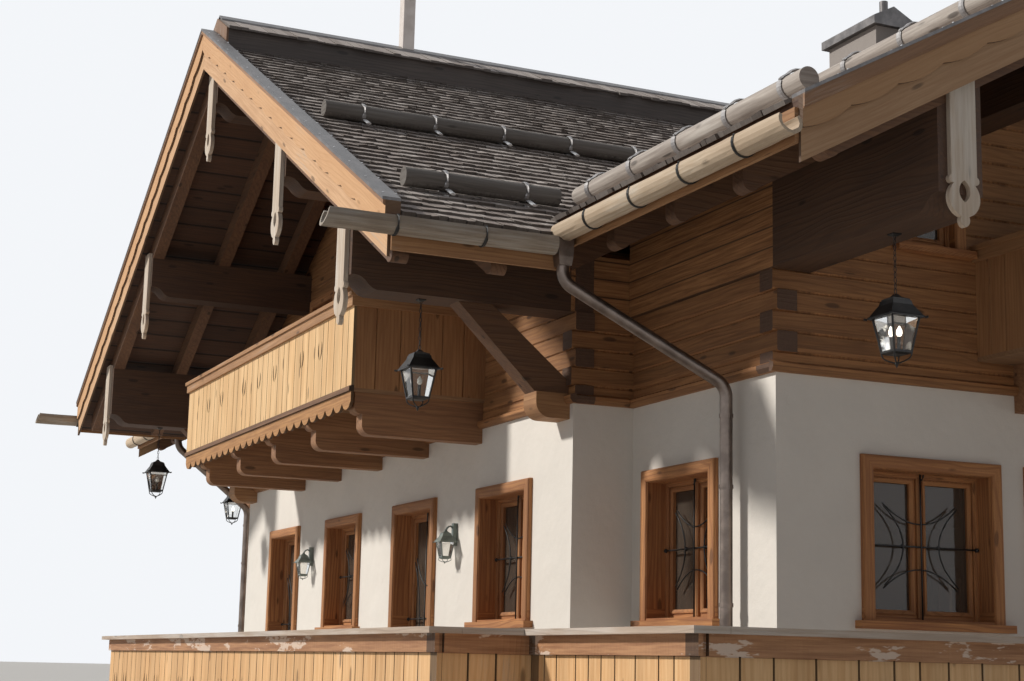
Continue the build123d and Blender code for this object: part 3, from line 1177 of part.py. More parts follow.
def window_nodes():
    """Casings, leaves and panes, storey by storey."""
    nodes = {}
    storeys = {"ground": (GROUND_GABLE_OPENINGS, GROUND_SIDE_OPENINGS),
               "upper": (UPPER_GABLE_OPENINGS, UPPER_SIDE_OPENINGS)}
    for storey, (gable, side) in storeys.items():
        nodes[f"{storey}_window_casings"] = [o.casing() for o in gable] + both_sides(*(o.casing() for o in side))
        nodes[f"{storey}_window_leaves"] = [o.sash() for o in gable] + both_sides(*(o.sash() for o in side))
        nodes[f"{storey}_window_glass"] = [
            *(pane for o in gable for pane in o.glass()),
            *both_sides(*(pane for o in side for pane in o.glass())),
        ]
    return nodes


def build():
    """All nodes of the chalet by name, each a list of solids, in house coordinates."""
    wing_area = wing_plan(2 * main_roof(0))
    wing_timbers = wing_purlins()
    main_timbers = main_purlins()
    rafters = rafter_nodes(wing_area)
    timbers = [*main_timbers, *wing_timbers, *FRONT_BALCONY.beams(), *WING_BALCONY.beams(),
               *rafters["main_rafters"], *rafters["wing_rafters"]]
    nodes = masonry_nodes()
    nodes["ground_floor"] = [floor_slab(MASONRY, 0, GROUND_FLOOR_TOP)]
    nodes["upper_floor"] = [floor_slab(LOG_THICKNESS, LOG_BASE, UPPER_FLOOR_TOP)]
    nodes |= log_nodes(timbers)
    nodes |= roof_nodes(wing_area)
    nodes["eaves_boards"] = eaves_boards()
    nodes["main_purlins"] = main_timbers
    nodes["wing_purlins"] = both_sides(*wing_timbers)
    nodes |= rafters
    nodes |= verge_nodes()
    nodes |= brace_nodes(nodes)
    nodes |= balcony_nodes()
    nodes |= window_nodes()
    nodes |= gutter_nodes()
    nodes |= guard_rows()
    nodes |= chimney_nodes(nodes)
    nodes |= lantern_node()
    nodes |= terrace_nodes()
    return nodes


def main():
    """Stands the chalet on the middle of its base and writes one file for each node."""
    nodes = {name: Compound(children=[s for shape in shapes for s in shape.solids()])
             for name, shapes in build().items()}
    box = Compound(list(nodes.values())).bounding_box()
    shift = Pos(-(box.min.X + box.max.X) / 2, -(box.min.Y + box.max.Y) / 2, -box.min.Z)
    os.makedirs("parts", exist_ok=True)
    for name, node in nodes.items():
        export_step(shift * node, f"parts/{name}.step")


main()
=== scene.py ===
"""Looks of an alpine chalet: shingles, squared logs, carved boards, plaster and ironwork.

Lengths are metres. House coordinates run from the main ridge (x), from the front gable's
face into the depth (y) and up from the terrace (z); House.shift takes them to the frame.
"""

import logging
from collections.abc import Callable, Iterable, Sequence
from dataclasses import dataclass, field, replace
from enum import Enum

import bmesh
import bpy
import numpy as np
from mathutils import Matrix, Vector


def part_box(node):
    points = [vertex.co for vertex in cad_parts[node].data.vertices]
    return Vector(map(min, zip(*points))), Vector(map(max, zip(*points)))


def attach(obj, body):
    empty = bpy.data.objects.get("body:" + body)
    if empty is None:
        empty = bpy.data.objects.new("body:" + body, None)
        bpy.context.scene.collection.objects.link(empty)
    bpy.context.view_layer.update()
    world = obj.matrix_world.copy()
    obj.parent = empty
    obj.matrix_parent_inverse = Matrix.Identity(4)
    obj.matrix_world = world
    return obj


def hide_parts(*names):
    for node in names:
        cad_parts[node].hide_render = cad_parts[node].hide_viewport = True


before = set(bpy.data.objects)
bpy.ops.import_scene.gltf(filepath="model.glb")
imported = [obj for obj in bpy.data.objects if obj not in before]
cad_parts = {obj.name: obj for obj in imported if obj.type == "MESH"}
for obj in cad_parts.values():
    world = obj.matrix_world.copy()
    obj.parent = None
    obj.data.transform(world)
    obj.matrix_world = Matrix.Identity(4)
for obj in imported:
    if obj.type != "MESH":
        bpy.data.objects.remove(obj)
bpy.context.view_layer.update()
LOG = logging.getLogger("chalet")
SEED = 11

Array = np.ndarray
Colour = tuple[float, float, float]
EAST, NORTH, UP = np.eye(3)
BOTH_SIDES = (False, True)
# Light and dark tone of woods that two finishes share. The purlin, rafter and brace, and soffit tones are painted
# shade: far darker than their wood, for the shade under the eaves.
LOG_TONES = ((0.46, 0.225, 0.09), (0.20, 0.085, 0.032))
PURLIN_SHADE_TONES = ((0.11, 0.055, 0.028), (0.05, 0.025, 0.015))
RAFTER_AND_BRACE_SHADE_TONES = ((0.20, 0.10, 0.05), (0.09, 0.045, 0.025))
SOFFIT_SHADE_TONES = ((0.12, 0.056, 0.03), (0.055, 0.027, 0.016))


class Socket:
    """Output of a shader node that takes part in ordinary arithmetic."""

    def __init__(self, graph: "Graph", link: bpy.types.NodeSocket) -> None:
        """Keeps the graph and the output."""
        self.graph = graph
        self.link = link

    def _math(self, operation: str, first: "Socket | float", second: "Socket | float") -> "Socket":
        """Math node on two values."""
        return self.graph.node("ShaderNodeMath", {"operation": operation}, {0: first, 1: second})

    def __add__(self, other: "Socket | float") -> "Socket":
        """Sum."""
        return self._math("ADD", self, other)

    __radd__ = __add__

    def __sub__(self, other: "Socket | float") -> "Socket":
        """Difference."""
        return self._math("SUBTRACT", self, other)

    def __rsub__(self, other: float) -> "Socket":
        """Difference with the number first."""
        return self._math("SUBTRACT", other, self)

    def __mul__(self, other: "Socket | float") -> "Socket":
        """Product."""
        return self._math("MULTIPLY", self, other)

    __rmul__ = __mul__

    def __truediv__(self, other: "Socket | float") -> "Socket":
        """Quotient."""
        return self._math("DIVIDE", self, other)

    def __gt__(self, other: "Socket | float") -> "Socket":
        """One where this is the larger, else nought."""
        return self._math("GREATER_THAN", self, other)

    def __abs__(self) -> "Socket":
        """Distance from nought."""
        return self._math("ABSOLUTE", self, 0.0)

    def floor(self) -> "Socket":
        """Largest whole number below."""
        return self._math("FLOOR", self, 0.0)

    def fract(self) -> "Socket":
        """Part after the whole number."""
        return self._math("FRACT", self, 0.0)

    def sine(self) -> "Socket":
        """Sine of an angle in radians."""
        return self._math("SINE", self, 0.0)


Value = Socket | float


class Graph:
    """Node tree of one finish, written as expressions."""

    def __init__(self, name: str) -> None:
        """Empty material.

        Args:
            name: Name of the material.
        """
        self.material = bpy.data.materials.new(name)
        self.material.use_nodes = True
        self.tree = self.material.node_tree
        self.tree.nodes.clear()

    def node(self, kind: str, settings: dict | None = None, sockets: dict | None = None,
             output: int | str = 0) -> Socket:
        """Adds a node.

        Args:
            kind: Type of the node.
            settings: Properties to set first; stops are a ramp's (place, colour) pairs.
            sockets: Values or links of its inputs, by name or number.
            output: Which output to hand back.

        Returns:
            The chosen output.
        """
        made = self.tree.nodes.new(kind)
        for key, value in (settings or {}).items():
            if key == "stops":
                self._stops(made.color_ramp, value)
            else:
                setattr(made, key, value)
        for key, value in (sockets or {}).items():
            if isinstance(value, Socket):
                self.tree.links.new(value.link, made.inputs[key])
            elif isinstance(value, tuple) and made.inputs[key].type == "RGBA":
                made.inputs[key].default_value = (*value, 1.0)
            else:
                made.inputs[key].default_value = value
        return Socket(self, made.outputs[output])

    @staticmethod
    def _stops(ramp: bpy.types.ColorRamp, stops: Sequence[tuple[float, Colour]]) -> None:
        """Places the stops of a colour ramp."""
        while len(ramp.elements) < len(stops):
            ramp.elements.new(0.5)
        for element, (place, colour) in zip(ramp.elements, stops):
            element.position = place
            element.color = (*colour, 1.0)

    def spot(self) -> Socket:
        """Object coordinates as one vector."""
        return self.node("ShaderNodeTexCoord", output="Object")

    def place(self) -> tuple[Socket, Socket, Socket]:
        """The three object coordinates."""
        return self.split(self.spot())

    def attribute(self, name: str, output: str = "Fac") -> Socket:
        """Value that the mesh carries under a name."""
        return self.node("ShaderNodeAttribute", {"attribute_name": name}, output=output)

    def split(self, vector: Socket) -> tuple[Socket, Socket, Socket]:
        """Parts of a vector."""
        first = self.node("ShaderNodeSeparateXYZ", None, {0: vector})
        outputs = first.link.node.outputs
        return first, Socket(self, outputs[1]), Socket(self, outputs[2])

    def join(self, x: Value, y: Value, z: Value) -> Socket:
        """Vector from three parts."""
        return self.node("ShaderNodeCombineXYZ", None, {0: x, 1: y, 2: z})

    def facing(self) -> tuple[Socket, Socket, Socket]:
        """Parts of the surface's direction without their sign."""
        return tuple(abs(part) for part in self.split(self.node("ShaderNodeNewGeometry", output="Normal")))

    def noise(self, vector: Socket, scale: float = 1.0, detail: float = 3.0, rough: float = 0.55) -> Socket:
        """Cloudy value from nought to one."""
        return self.node("ShaderNodeTexNoise", None,
                         {"Vector": vector, "Scale": scale, "Detail": detail, "Roughness": rough})

    def chance(self, value: Socket) -> Socket:
        """Random number that stays the same for the same value."""
        return self.node("ShaderNodeTexWhiteNoise", {"noise_dimensions": "1D"}, {"W": value})

    def spread(self, value: Socket, low: float, high: float, new_low: float = 0.0,
               new_high: float = 1.0) -> Socket:
        """Smooth step of a value between two bounds."""
        return self.node("ShaderNodeMapRange", {"interpolation_type": "SMOOTHSTEP"},
                         {"Value": value, "From Min": low, "From Max": high, "To Min": new_low,
                          "To Max": new_high})

    def mix(self, factor: Value, first: "Socket | Colour", second: "Socket | Colour",
            blend: str = "MIX") -> Socket:
        """Blend of two colours."""
        return self.node("ShaderNodeMix", {"data_type": "RGBA", "blend_type": blend},
                         {0: factor, 6: first, 7: second}, 2)

    def choose(self, mask: Value, first: Value, second: Value) -> Socket:
        """First value where the mask is nought, second where it is one."""
        if isinstance(first, Socket):
            return first + mask * (second - first)
        return mask * (second - first) + first

    @staticmethod
    def between(value: Socket, low: float, high: float) -> Socket:
        """One where a value lies between two bounds, else nought."""
        return (value > low) * (1.0 - (value > high))

    def shade(self, colour: "Socket | Colour", factor: Value) -> Socket:
        """Colour made lighter or darker by a factor."""
        grey = self.join(factor, factor, factor)
        return self.node("ShaderNodeVectorMath", {"operation": "MULTIPLY"}, {0: colour, 1: grey})

    def bump(self, height: Socket, distance: float, strength: float = 1.0) -> Socket:
        """Surface direction of a relief whose height is in units of a distance."""
        return self.node("ShaderNodeBump", None,
                         {"Height": height, "Distance": distance, "Strength": strength})

    def surface(self, **sockets: object) -> bpy.types.Material:
        """Principled surface with the given sockets, whose names use _ for spaces.

        Returns:
            The finished material.
        """
        named = {key.replace("_", " "): value for key, value in sockets.items()}
        shader = self.node("ShaderNodeBsdfPrincipled", None, named)
        end = self.tree.nodes.new("ShaderNodeOutputMaterial")
        self.tree.links.new(shader.link, end.inputs["Surface"])
        return self.material


class Grain(Enum):
    """Way in which the grain runs on a timber."""

    ALONG_X = "x"
    ALONG_Y = "y"
    UPRIGHT = "z"
    WALL = "level along the wall"
    VERGE = "down the slope of a gable"
    CASING = "upright, and level along a sill"
    PIECE = "as the piece itself says"


@dataclass(frozen=True)
class WoodFinish:
    """Timber: its two tones, the way of its grain and how grey it has weathered."""

    name: str
    light: Colour
    dark: Colour
    grain: Grain
    board: float = 0.0
    board_upright: bool = False
    weather: float = 0.0
    grey: Colour = (0.34, 0.31, 0.28)
    roughness: float = 0.62
    contrast: float = 1.0
    joint: float = 0.004
    house: "House | None" = None

    def make(self) -> bpy.types.Material:
        """Builds the material.

        The grain is a sine of the distance across the timber, bent by a cloud that is
        stretched along it, over streaks from a second such cloud. Knots are the middles of
        long cells. Every board has its own tone and its own stretch of the pattern.

        Returns:
            The material.
        """
        g = Graph(self.name)
        along, across, depth = self._axes(g)
        number: Value = 0.0
        if self.grain is Grain.PIECE:
            number = g.attribute("tint") * 91.7
        elif self.board:
            line = along if self.board_upright else across
            number = (line / self.board).floor()
        tone = g.chance(number) if isinstance(number, Socket) else g.chance(depth * 0.0)
        shift = tone * 13.0
        bend = g.noise(g.join(along * 0.55 + shift, across * 3.1 + shift, depth * 3.1), 1.0, 2.0)
        rings = g.spread(((across + depth * 0.7) * 150.0 + bend * 42.0).sine(), 0.1, 1.0)
        streak = g.noise(g.join(along * 1.7 + shift, across * 34.0, depth * 34.0), 1.0, 5.0, 0.65)
        cloud = g.noise(g.join(along * 0.8 + shift, across * 2.4, depth * 2.4), 1.0, 3.0)
        knots = g.node("ShaderNodeTexVoronoi", {"feature": "F1"},
                       {"Vector": g.join(along * 1.9 + shift * 3.0, across * 6.5 + shift, depth * 6.5),
                        "Scale": 1.0, "Randomness": 1.0})
        knot = g.spread(knots, 0.16, 0.09)
        tint = g.spread(streak, 0.28, 0.72) * 0.62 + g.spread(cloud, 0.3, 0.7) * 0.38
        colour = g.mix(tint, self.dark, self.light)
        colour = g.mix(rings * (0.34 * self.contrast), colour, self.dark)
        colour = g.mix(knot * 0.75, colour, tuple(part * 0.3 for part in self.dark))
        colour = g.shade(colour, 0.80 + tone * 0.38)
        if self.weather:
            worn = g.spread(cloud * 0.6 + streak * 0.4, 0.62 - self.weather * 0.42, 0.68 - self.weather * 0.2)
            colour = g.mix(worn * min(1.0, self.weather + 0.25), colour,
                           g.shade(self.grey, 0.7 + streak * 0.6))
        colour = self.tone(g, colour)
        relief = streak * 0.6 + rings * 0.4 + knot * 0.3
        if self.board and self.joint:
            line = along if self.board_upright else across
            edge = abs((line / self.board).fract() - 0.5) * self.board
            gap = g.spread(edge, self.board / 2 - 2.4 * self.joint, self.board / 2 - 0.6 * self.joint)
            colour = g.mix(gap * 0.85, colour, tuple(part * 0.12 for part in self.dark))
            relief = relief - gap * 3.0
        return g.surface(Base_Color=colour, Roughness=self.roughness + streak * 0.2,
                         Normal=g.bump(relief, 0.0022))

    def tone(self, g: Graph, colour: Socket) -> Socket:
        """Last change of the colour; plain timber has none."""
        return colour

    def _axes(self, g: Graph) -> tuple[Socket, Socket, Socket]:
        """Coordinates along, across and through the timber."""
        if self.grain is Grain.PIECE:
            return g.split(g.attribute("grain", "Vector"))
        x, y, z = g.place()
        if self.grain is Grain.ALONG_X:
            return x, z, y
        if self.grain is Grain.ALONG_Y:
            return y, z, x
        nx, ny, nz = g.facing()
        side = nx > 0.5
        if self.grain is Grain.UPRIGHT:
            return z, g.choose(side, x, y), g.choose(side, y, x)
        if self.grain is Grain.CASING:
            along, across, depth = g.choose(side, x, y), z, g.choose(side, y, x)
            sill: Value = 0.0
            for top in self.house.sills:
                sill = g.between(z, top - 0.09, top + 0.1) + sill
            return g.choose(sill, z, along), g.choose(sill, along, z), depth
        if self.grain is Grain.WALL:
            level = nz > 0.7
            return g.choose(side, x, y), g.choose(level, z, y), g.choose(side, y, x)
        from_ridge = abs(x - self.house.hx)
        from_wing = abs(y - self.house.hy - self.house.wing_ridge)
        run = g.choose(side, from_ridge, from_wing)
        return run * 1.14, z + run * self.house.rise, g.choose(side, y, x)


@dataclass(frozen=True)
class BoardFinish(WoodFinish):
    """Upright boards with painted shade in their slots, crossed by level trim boards of other tones."""

    bands: tuple[tuple[float, float], ...] = ()
    trims: tuple[tuple[Colour, Colour], ...] = ()
    flakes: float = 0.0
    flanks: tuple[tuple[float, float], ...] = ()

    def tone(self, g: Graph, colour: Socket) -> Socket:
        """Adds the level boards between the heights of each band, then paints shade onto the inside faces of every
        slot.

        Flanks are the distances from the main ridge between which boards face sideways. A
        face turned away from the boards' own face is the inside of a slot.
        """
        x, y, z = g.place()
        nx, ny, _ = g.facing()
        along = g.choose(nx > 0.5, x, y)
        broad = g.noise(g.join(x * 4.3, y * 4.3, 0.0), 1.0, 1.0)
        colour = g.shade(colour, 0.72 + broad * 0.56)
        streak = g.noise(g.join(along * 1.8, z * 40.0, nx * 3.0), 1.0, 5.0, 0.65)
        for (low, high), (light, dark) in zip(self.bands, self.trims):
            board = g.mix(g.spread(streak, 0.3, 0.7), dark, light)
            if self.flakes:
                worn = g.spread(g.noise(g.join(along * 1.7, z * 6.0, nx), 1.0, 5.0, 0.68), 0.555, 0.585)
                board = g.mix(worn * self.flakes, board, (0.72, 0.60, 0.50))
            colour = g.mix(g.between(z, low, high), colour, board)
        away = abs(x - self.house.hx)
        flank: Value = 0.0
        for low, high in self.flanks:
            flank = g.between(away, low, high) + flank
        # Painted shade: faces that look across the boards' own face, the insides of the slots, are darkened to a
        # quarter.
        slot = 1.0 - (g.choose(flank, ny, nx) > 0.6)
        return g.mix(slot, colour, g.shade(colour, 0.25))


@dataclass(frozen=True)
class LogFinish(WoodFinish):
    """Squared logs of a wall, with dark end grain where they interlock."""

    across_ends: bool = False

    def tone(self, g: Graph, colour: Socket) -> Socket:
        """Darkens the faces across the logs: those facing along x, or along y."""
        nx, ny, _ = g.facing()
        grain = g.noise(g.spot(), 38.0, 4.0, 0.7)
        ends = g.mix(grain, (0.05, 0.026, 0.016), (0.15, 0.08, 0.048))
        return g.mix((ny if self.across_ends else nx) > 0.5, colour, ends)


@dataclass(frozen=True)
class PurlinFinish(WoodFinish):
    """Purlins: painted shade where they stand free, like the wall's logs where they lie on it."""

    log_light: Colour = (0.46, 0.225, 0.09)
    log_dark: Colour = (0.20, 0.085, 0.032)

    def tone(self, g: Graph, colour: Socket) -> Socket:
        """The eaves purlins continue the wall's courses between its ends."""
        h = self.house
        x, y, z = g.place()
        x, y = abs(x - h.hx), y - h.hy
        from_wing = abs(y - h.wing_ridge)
        if self.grain is Grain.ALONG_X:
            on_wall = (from_wing > h.wing_half - 0.25) * (1.0 - (x > h.wing_end + 0.03))
            along = x
        else:
            on_wall = (x > h.main_half - 0.25) * (1.0 - (abs(y - h.length / 2) > h.length / 2 + 0.03))
            along = y
        streak = g.noise(g.join(along * 1.7, z * 34.0, 3.0), 1.0, 5.0, 0.65)
        place = ((z - h.log_base) / h.log_course).fract()
        joint = g.spread(abs(place - 0.5), 0.44, 0.48)
        logs = g.mix(g.spread(streak, 0.28, 0.72), self.log_dark, self.log_light)
        # Off the wall the purlins keep their near-black tones, which are painted shade.
        return g.mix(on_wall, colour, g.mix(joint * 0.8, logs, (0.02, 0.01, 0.006)))


@dataclass(frozen=True)
class GuardFinish(WoodFinish):
    """Logs of the snow guards: paler on the wings than on the main roof."""

    def tone(self, g: Graph, colour: Socket) -> Socket:
        """Darkens the logs that run along the main ridge."""
        h = self.house
        x, y, _ = g.place()
        x, from_wing = abs(x - h.hx), abs(y - h.hy - h.wing_ridge)
        wing = g.spread((x > 5.6) + (x > 3.6) * (1.0 - (from_wing > 3.1)), 0.0, 1.0)
        return g.shade(colour, 0.42 + wing * 0.83)


@dataclass(frozen=True)
class VergeFinish(WoodFinish):
    """Barge boards: the scalloped face board is warmer than the board behind it; the wings' boards and the insides
    of the cut leaves carry painted shade.
    """

    face: Colour = (0.62, 0.33, 0.14)
    proud: float = 2.19

    def tone(self, g: Graph, colour: Socket) -> Socket:
        """Warms what stands further out than the lower board, paints shade onto the wings' boards, and paints the
        inner faces of the cut leaves nearly black as shade.
        """
        h = self.house
        x, y, _ = g.place()
        nx, ny, nz = g.facing()
        x, y = abs(x - h.hx), abs(y - h.hy - h.length / 2)
        wing = x > h.wing_end + 1.0
        outer = (x > h.wing_end + self.proud) + (y > h.length / 2 + self.proud)
        colour = g.mix(outer * 0.42, colour, self.face)
        inside = 1.0 - (g.choose(wing, ny, nx) > 0.5)
        # Painted shade: the wings' barge boards are darkened to 0.6.
        colour = g.shade(colour, 1.0 - wing * 0.4)
        # Painted shade: faces inside the cut leaves turn nearly black.
        return g.mix(inside * 0.85, colour, (0.05, 0.025, 0.014))


@dataclass(frozen=True)
class PlasterFinish:
    """Trowelled lime plaster, a little soiled at its foot."""

    name: str = "plaster"
    colour: Colour = (0.80, 0.765, 0.71)
    soil: Colour = (0.47, 0.43, 0.37)

    def make(self) -> bpy.types.Material:
        """Broad waves and fine grit for the relief; dust as a cloud that fades upwards."""
        g = Graph(self.name)
        x, y, z = g.place()
        spot = g.join(x, y, z)
        waves, grit = g.noise(spot, 2.2, 3.0), g.noise(spot, 60.0, 4.0, 0.7)
        foot = g.spread(z + g.noise(spot, 3.0, 4.0) * 0.5, 0.75, 0.15)
        colour = g.mix(g.spread(waves, 0.3, 0.75) * 0.5, self.colour,
                       tuple(part * 0.93 for part in self.colour))
        colour = g.mix(foot * 0.45, colour, self.soil)
        return g.surface(Base_Color=colour, Roughness=0.88 + grit * 0.1,
                         Normal=g.bump(waves * 4.0 + grit * 0.35, 0.006))


@dataclass(frozen=True)
class ShingleFinish:
    """Split larch shingles gone silver, each in its own tone."""

    name: str = "shingles"
    silver: Colour = (0.50, 0.455, 0.425)
    brown: Colour = (0.25, 0.205, 0.18)

    def make(self) -> bpy.types.Material:
        """Tone of each shingle, streaks along its fibres, and painted shade on the butts and sides, which are
        darker than the faces that look up.
        """
        g = Graph(self.name)
        tone = g.attribute("tint")
        along, across, depth = g.split(g.attribute("grain", "Vector"))
        streak = g.noise(g.join(along * 4.0, across * 70.0, tone * 40.0), 1.0, 4.0, 0.7)
        cloud = g.noise(g.spot(), 0.55, 2.0)
        # Painted shade: faces that do not look up, the butts and the sides, are darker than the tops.
        level = g.spread(g.facing()[2], 0.6, 0.8)
        mask = g.spread(tone * 0.25 + streak * 0.5 + cloud * 0.2, 0.25, 0.75)
        colour = g.mix(mask, self.brown, self.silver)
        colour = g.shade(colour, (0.90 + tone * 0.2) * (0.42 + level * 0.78))
        return g.surface(Base_Color=colour, Roughness=0.8 + streak * 0.15, Normal=g.bump(streak, 0.003))


@dataclass(frozen=True)
class MetalFinish:
    """Sheet or wrought metal with a cloud of tarnish."""

    name: str
    colour: Colour
    tarnish: Colour
    metallic: float = 0.7
    roughness: float = 0.42
    grain_size: float = 6.0

    def make(self) -> bpy.types.Material:
        """Tarnish from a cloud and a fine relief of dents."""
        g = Graph(self.name)
        spot = g.spot()
        cloud, fine = g.noise(spot, self.grain_size, 4.0, 0.6), g.noise(spot, self.grain_size * 18.0, 2.0)
        colour = g.mix(g.spread(cloud, 0.35, 0.7), self.colour, self.tarnish)
        return g.surface(Base_Color=colour, Metallic=self.metallic,
                         Roughness=self.roughness - 0.08 + cloud * 0.25,
                          Normal=g.bump(fine + cloud * 2.0, 0.0012))


@dataclass(frozen=True)
class GlassFinish:
    """Window or lantern glass, faintly streaked."""

    name: str
    colour: Colour = (0.86, 0.88, 0.87)
    through: float = 0.85
    glow: float = 0.0

    def make(self) -> bpy.types.Material:
        """Clear pane with a wavy surface; a finish with a glow, such as a lit bulb's, gives light all over."""
        g = Graph(self.name)
        wave = g.noise(g.spot(), 5.0, 1.0)
        return g.surface(Base_Color=self.colour, Roughness=wave * 0.06,
                         Transmission_Weight=self.through, IOR=1.45,
                         Normal=g.bump(wave, 0.0015), Emission_Color=(1.0, 0.93, 0.8),
                         Emission_Strength=self.glow)


@dataclass
class House:
    """Driving sizes of the house and its place in the frame."""

    main_half: float = 5.0
    length: float = 11.0
    wing_setback: float = 0.58
    wing_half: float = 3.56
    wing_projection: float = 2.27
    log_base: float = 3.0
    log_course: float = 0.16
    wall_top: float = 3.8
    roof_thickness: float = 0.26
    gable_overhang: float = 2.15
    barge_thickness: float = 0.05
    main_verge_rise: float = 0.1
    wing_verge_rise: float = 0.02
    kerb: float = 0.075
    sills: tuple[float, ...] = (1.17, 4.0, 4.13)
    hx: float = field(init=False)
    hy: float = field(init=False)
    rise: float = field(init=False)
    main_run: float = field(init=False)
    wing_run: float = field(init=False)
    eaves_top: float = field(init=False)
    wing_raise: float = field(init=False)

    def __post_init__(self) -> None:
        """Reads the house's place and the roof's slope from the frame."""
        low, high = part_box("gable_masonry_walls")
        self.hx, self.hy = (low.x + high.x) / 2, low.y
        low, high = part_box("main_right_roof_slope")
        self.main_run = high.x - self.hx
        self.eaves_top = low.z + self.roof_thickness
        self.rise = (high.z - self.eaves_top) / self.main_run
        low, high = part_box("wing_front_roof_slopes")
        self.wing_run = high.y - low.y
        self.wing_raise = low.z + self.roof_thickness - self.eaves_top

    @property
    def wing_ridge(self) -> float:
        """Place of the wings' ridge into the depth."""
        return self.wing_setback + self.wing_half

    @property
    def wing_end(self) -> float:
        """Face of a wing's gable."""
        return self.main_half + self.wing_projection

    @property
    def valley_foot(self) -> float:
        """Where a wing's eaves run into the main slope."""
        return self.main_run - self.wing_raise / self.rise

    @property
    def valley_top(self) -> float:
        """Where the valleys start beside the main ridge."""
        return self.valley_foot - self.wing_run

    def gable_faces(self) -> tuple["WallFace", "WallFace", "WallFace"]:
        """Wall faces of the front gable, the back gable and the wings' gables."""
        return (WallFace((0.0, 0.0), (1.0, 0.0), (0.0, -1.0)),
                WallFace((0.0, self.length), (-1.0, 0.0), (0.0, 1.0)),
                WallFace((self.wing_end, self.wing_ridge), (0.0, 1.0), (1.0, 0.0), True))

    def main_roof(self, x: "float | Array") -> "float | Array":
        """Height of the main roof over a place across the house."""
        return self.eaves_top + self.rise * (self.main_run - np.abs(x))

    def wing_roof(self, offset: "float | Array") -> "float | Array":
        """Height of a wing's roof at a distance from its ridge."""
        return self.eaves_top + self.wing_raise + self.rise * (self.wing_run - np.abs(offset))

    def shift(self, points: Array) -> Array:
        """Points from house coordinates to the frame."""
        return np.asarray(points, float) + (self.hx, self.hy, 0.0)


class Piece:
    """One mesh grown from arrays of points and faces in house coordinates."""

    def __init__(self, house: House, name: str) -> None:
        """Starts an empty piece.

        Args:
            house: The house that gives the frame.
            name: Name of the piece.
        """
        self.house = house
        self.name = name
        self.points: list[Array] = []
        self.faces: list[list[int]] = []
        self.tints: list[Array] = []
        self.grains: list[Array] = []
        self.count = 0

    def add(self, points: Array, faces: Iterable[Sequence[int]], tint: "float | Array" = 0.5,
            grain: Array | None = None, mirrored: bool = False) -> None:
        """Adds points and faces.

        Args:
            points: Rows of x, y, z.
            faces: Corner numbers of each face, outwards.
            tint: Tone of the part, or one for each point.
            grain: Places along, across and through the fibres, or the points themselves.
            mirrored: True to put it on the other side of the main ridge.
        """
        points = np.asarray(points, float).reshape(-1, 3)
        listed = faces.tolist() if isinstance(faces, np.ndarray) else [list(face) for face in faces]
        if mirrored:
            points = points * (-1.0, 1.0, 1.0)
            listed = [face[::-1] for face in listed]
        self.faces += [[corner + self.count for corner in face] for face in listed]
        self.points.append(points)
        self.tints.append(np.broadcast_to(tint, len(points)).astype(float))
        self.grains.append(points if grain is None else np.asarray(grain, float).reshape(-1, 3))
        self.count += len(points)

    def add_each(self, sides: Iterable[bool], points: Array, faces: Iterable[Sequence[int]],
                 tint: "float | Array" = 0.5, grain: Array | None = None) -> None:
        """Adds a part as it is for each False and mirrored for each True."""
        for mirrored in sides:
            self.add(points, faces, tint, grain, mirrored)

    def finish(self, material: bpy.types.Material, slot: str, smooth: bool = False,
               replaces: Sequence[str] = ()) -> None:
        """Makes the object and hands it to the frame.

        Args:
            material: Its finish.
            slot: Not used.
            smooth: True for smooth shading.
            replaces: CAD nodes that it stands for.
        """
        mesh = bpy.data.meshes.new(self.name)
        mesh.from_pydata(self.house.shift(np.concatenate(self.points)).tolist(), [], self.faces)
        tint = mesh.attributes.new("tint", "FLOAT", "POINT")
        tint.data.foreach_set("value", np.concatenate(self.tints))
        grain = mesh.attributes.new("grain", "FLOAT_VECTOR", "POINT")
        grain.data.foreach_set("vector", np.concatenate(self.grains).ravel())
        mesh.polygons.foreach_set("use_smooth", np.full(len(mesh.polygons), smooth))
        self.turn_outwards(mesh)
        mesh.materials.append(material)
        mesh.update()
        made = bpy.data.objects.new(self.name, mesh)
        bpy.context.scene.collection.objects.link(made)
        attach(made, "root")
        if replaces:
            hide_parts(*replaces)
        LOG.info("%s: %d faces", self.name, len(mesh.polygons))

    @staticmethod
    def turn_outwards(mesh: bpy.types.Mesh) -> None:
        """Turns the faces of a mesh that is closed everywhere outwards."""
        grown = bmesh.new()
        grown.from_mesh(mesh)
        if all(edge.is_manifold for edge in grown.edges):
            bmesh.ops.recalc_face_normals(grown, faces=grown.faces)
            grown.to_mesh(mesh)
        grown.free()


BOX_FACES = ((0, 3, 2, 1), (4, 5, 6, 7), (0, 1, 5, 4), (1, 2, 6, 5), (2, 3, 7, 6), (3, 0, 4, 7))


def box_points(low: Sequence[float], high: Sequence[float]) -> Array:
    """Eight corners of a block, the lower four first."""
    (x0, y0, z0), (x1, y1, z1) = low, high
    ring = np.array([(x0, y0), (x1, y0), (x1, y1), (x0, y1)])
    return np.concatenate([np.c_[ring, np.full(4, z)] for z in (z0, z1)])


def prism_faces(n: int) -> list[list[int]]:
    """Faces of a prism whose ends have n points each, the first end listed first."""
    around = [[i, (i + 1) % n, (i + 1) % n + n, i + n] for i in range(n)]
    return around + [list(range(n))[::-1], list(range(n, 2 * n))]


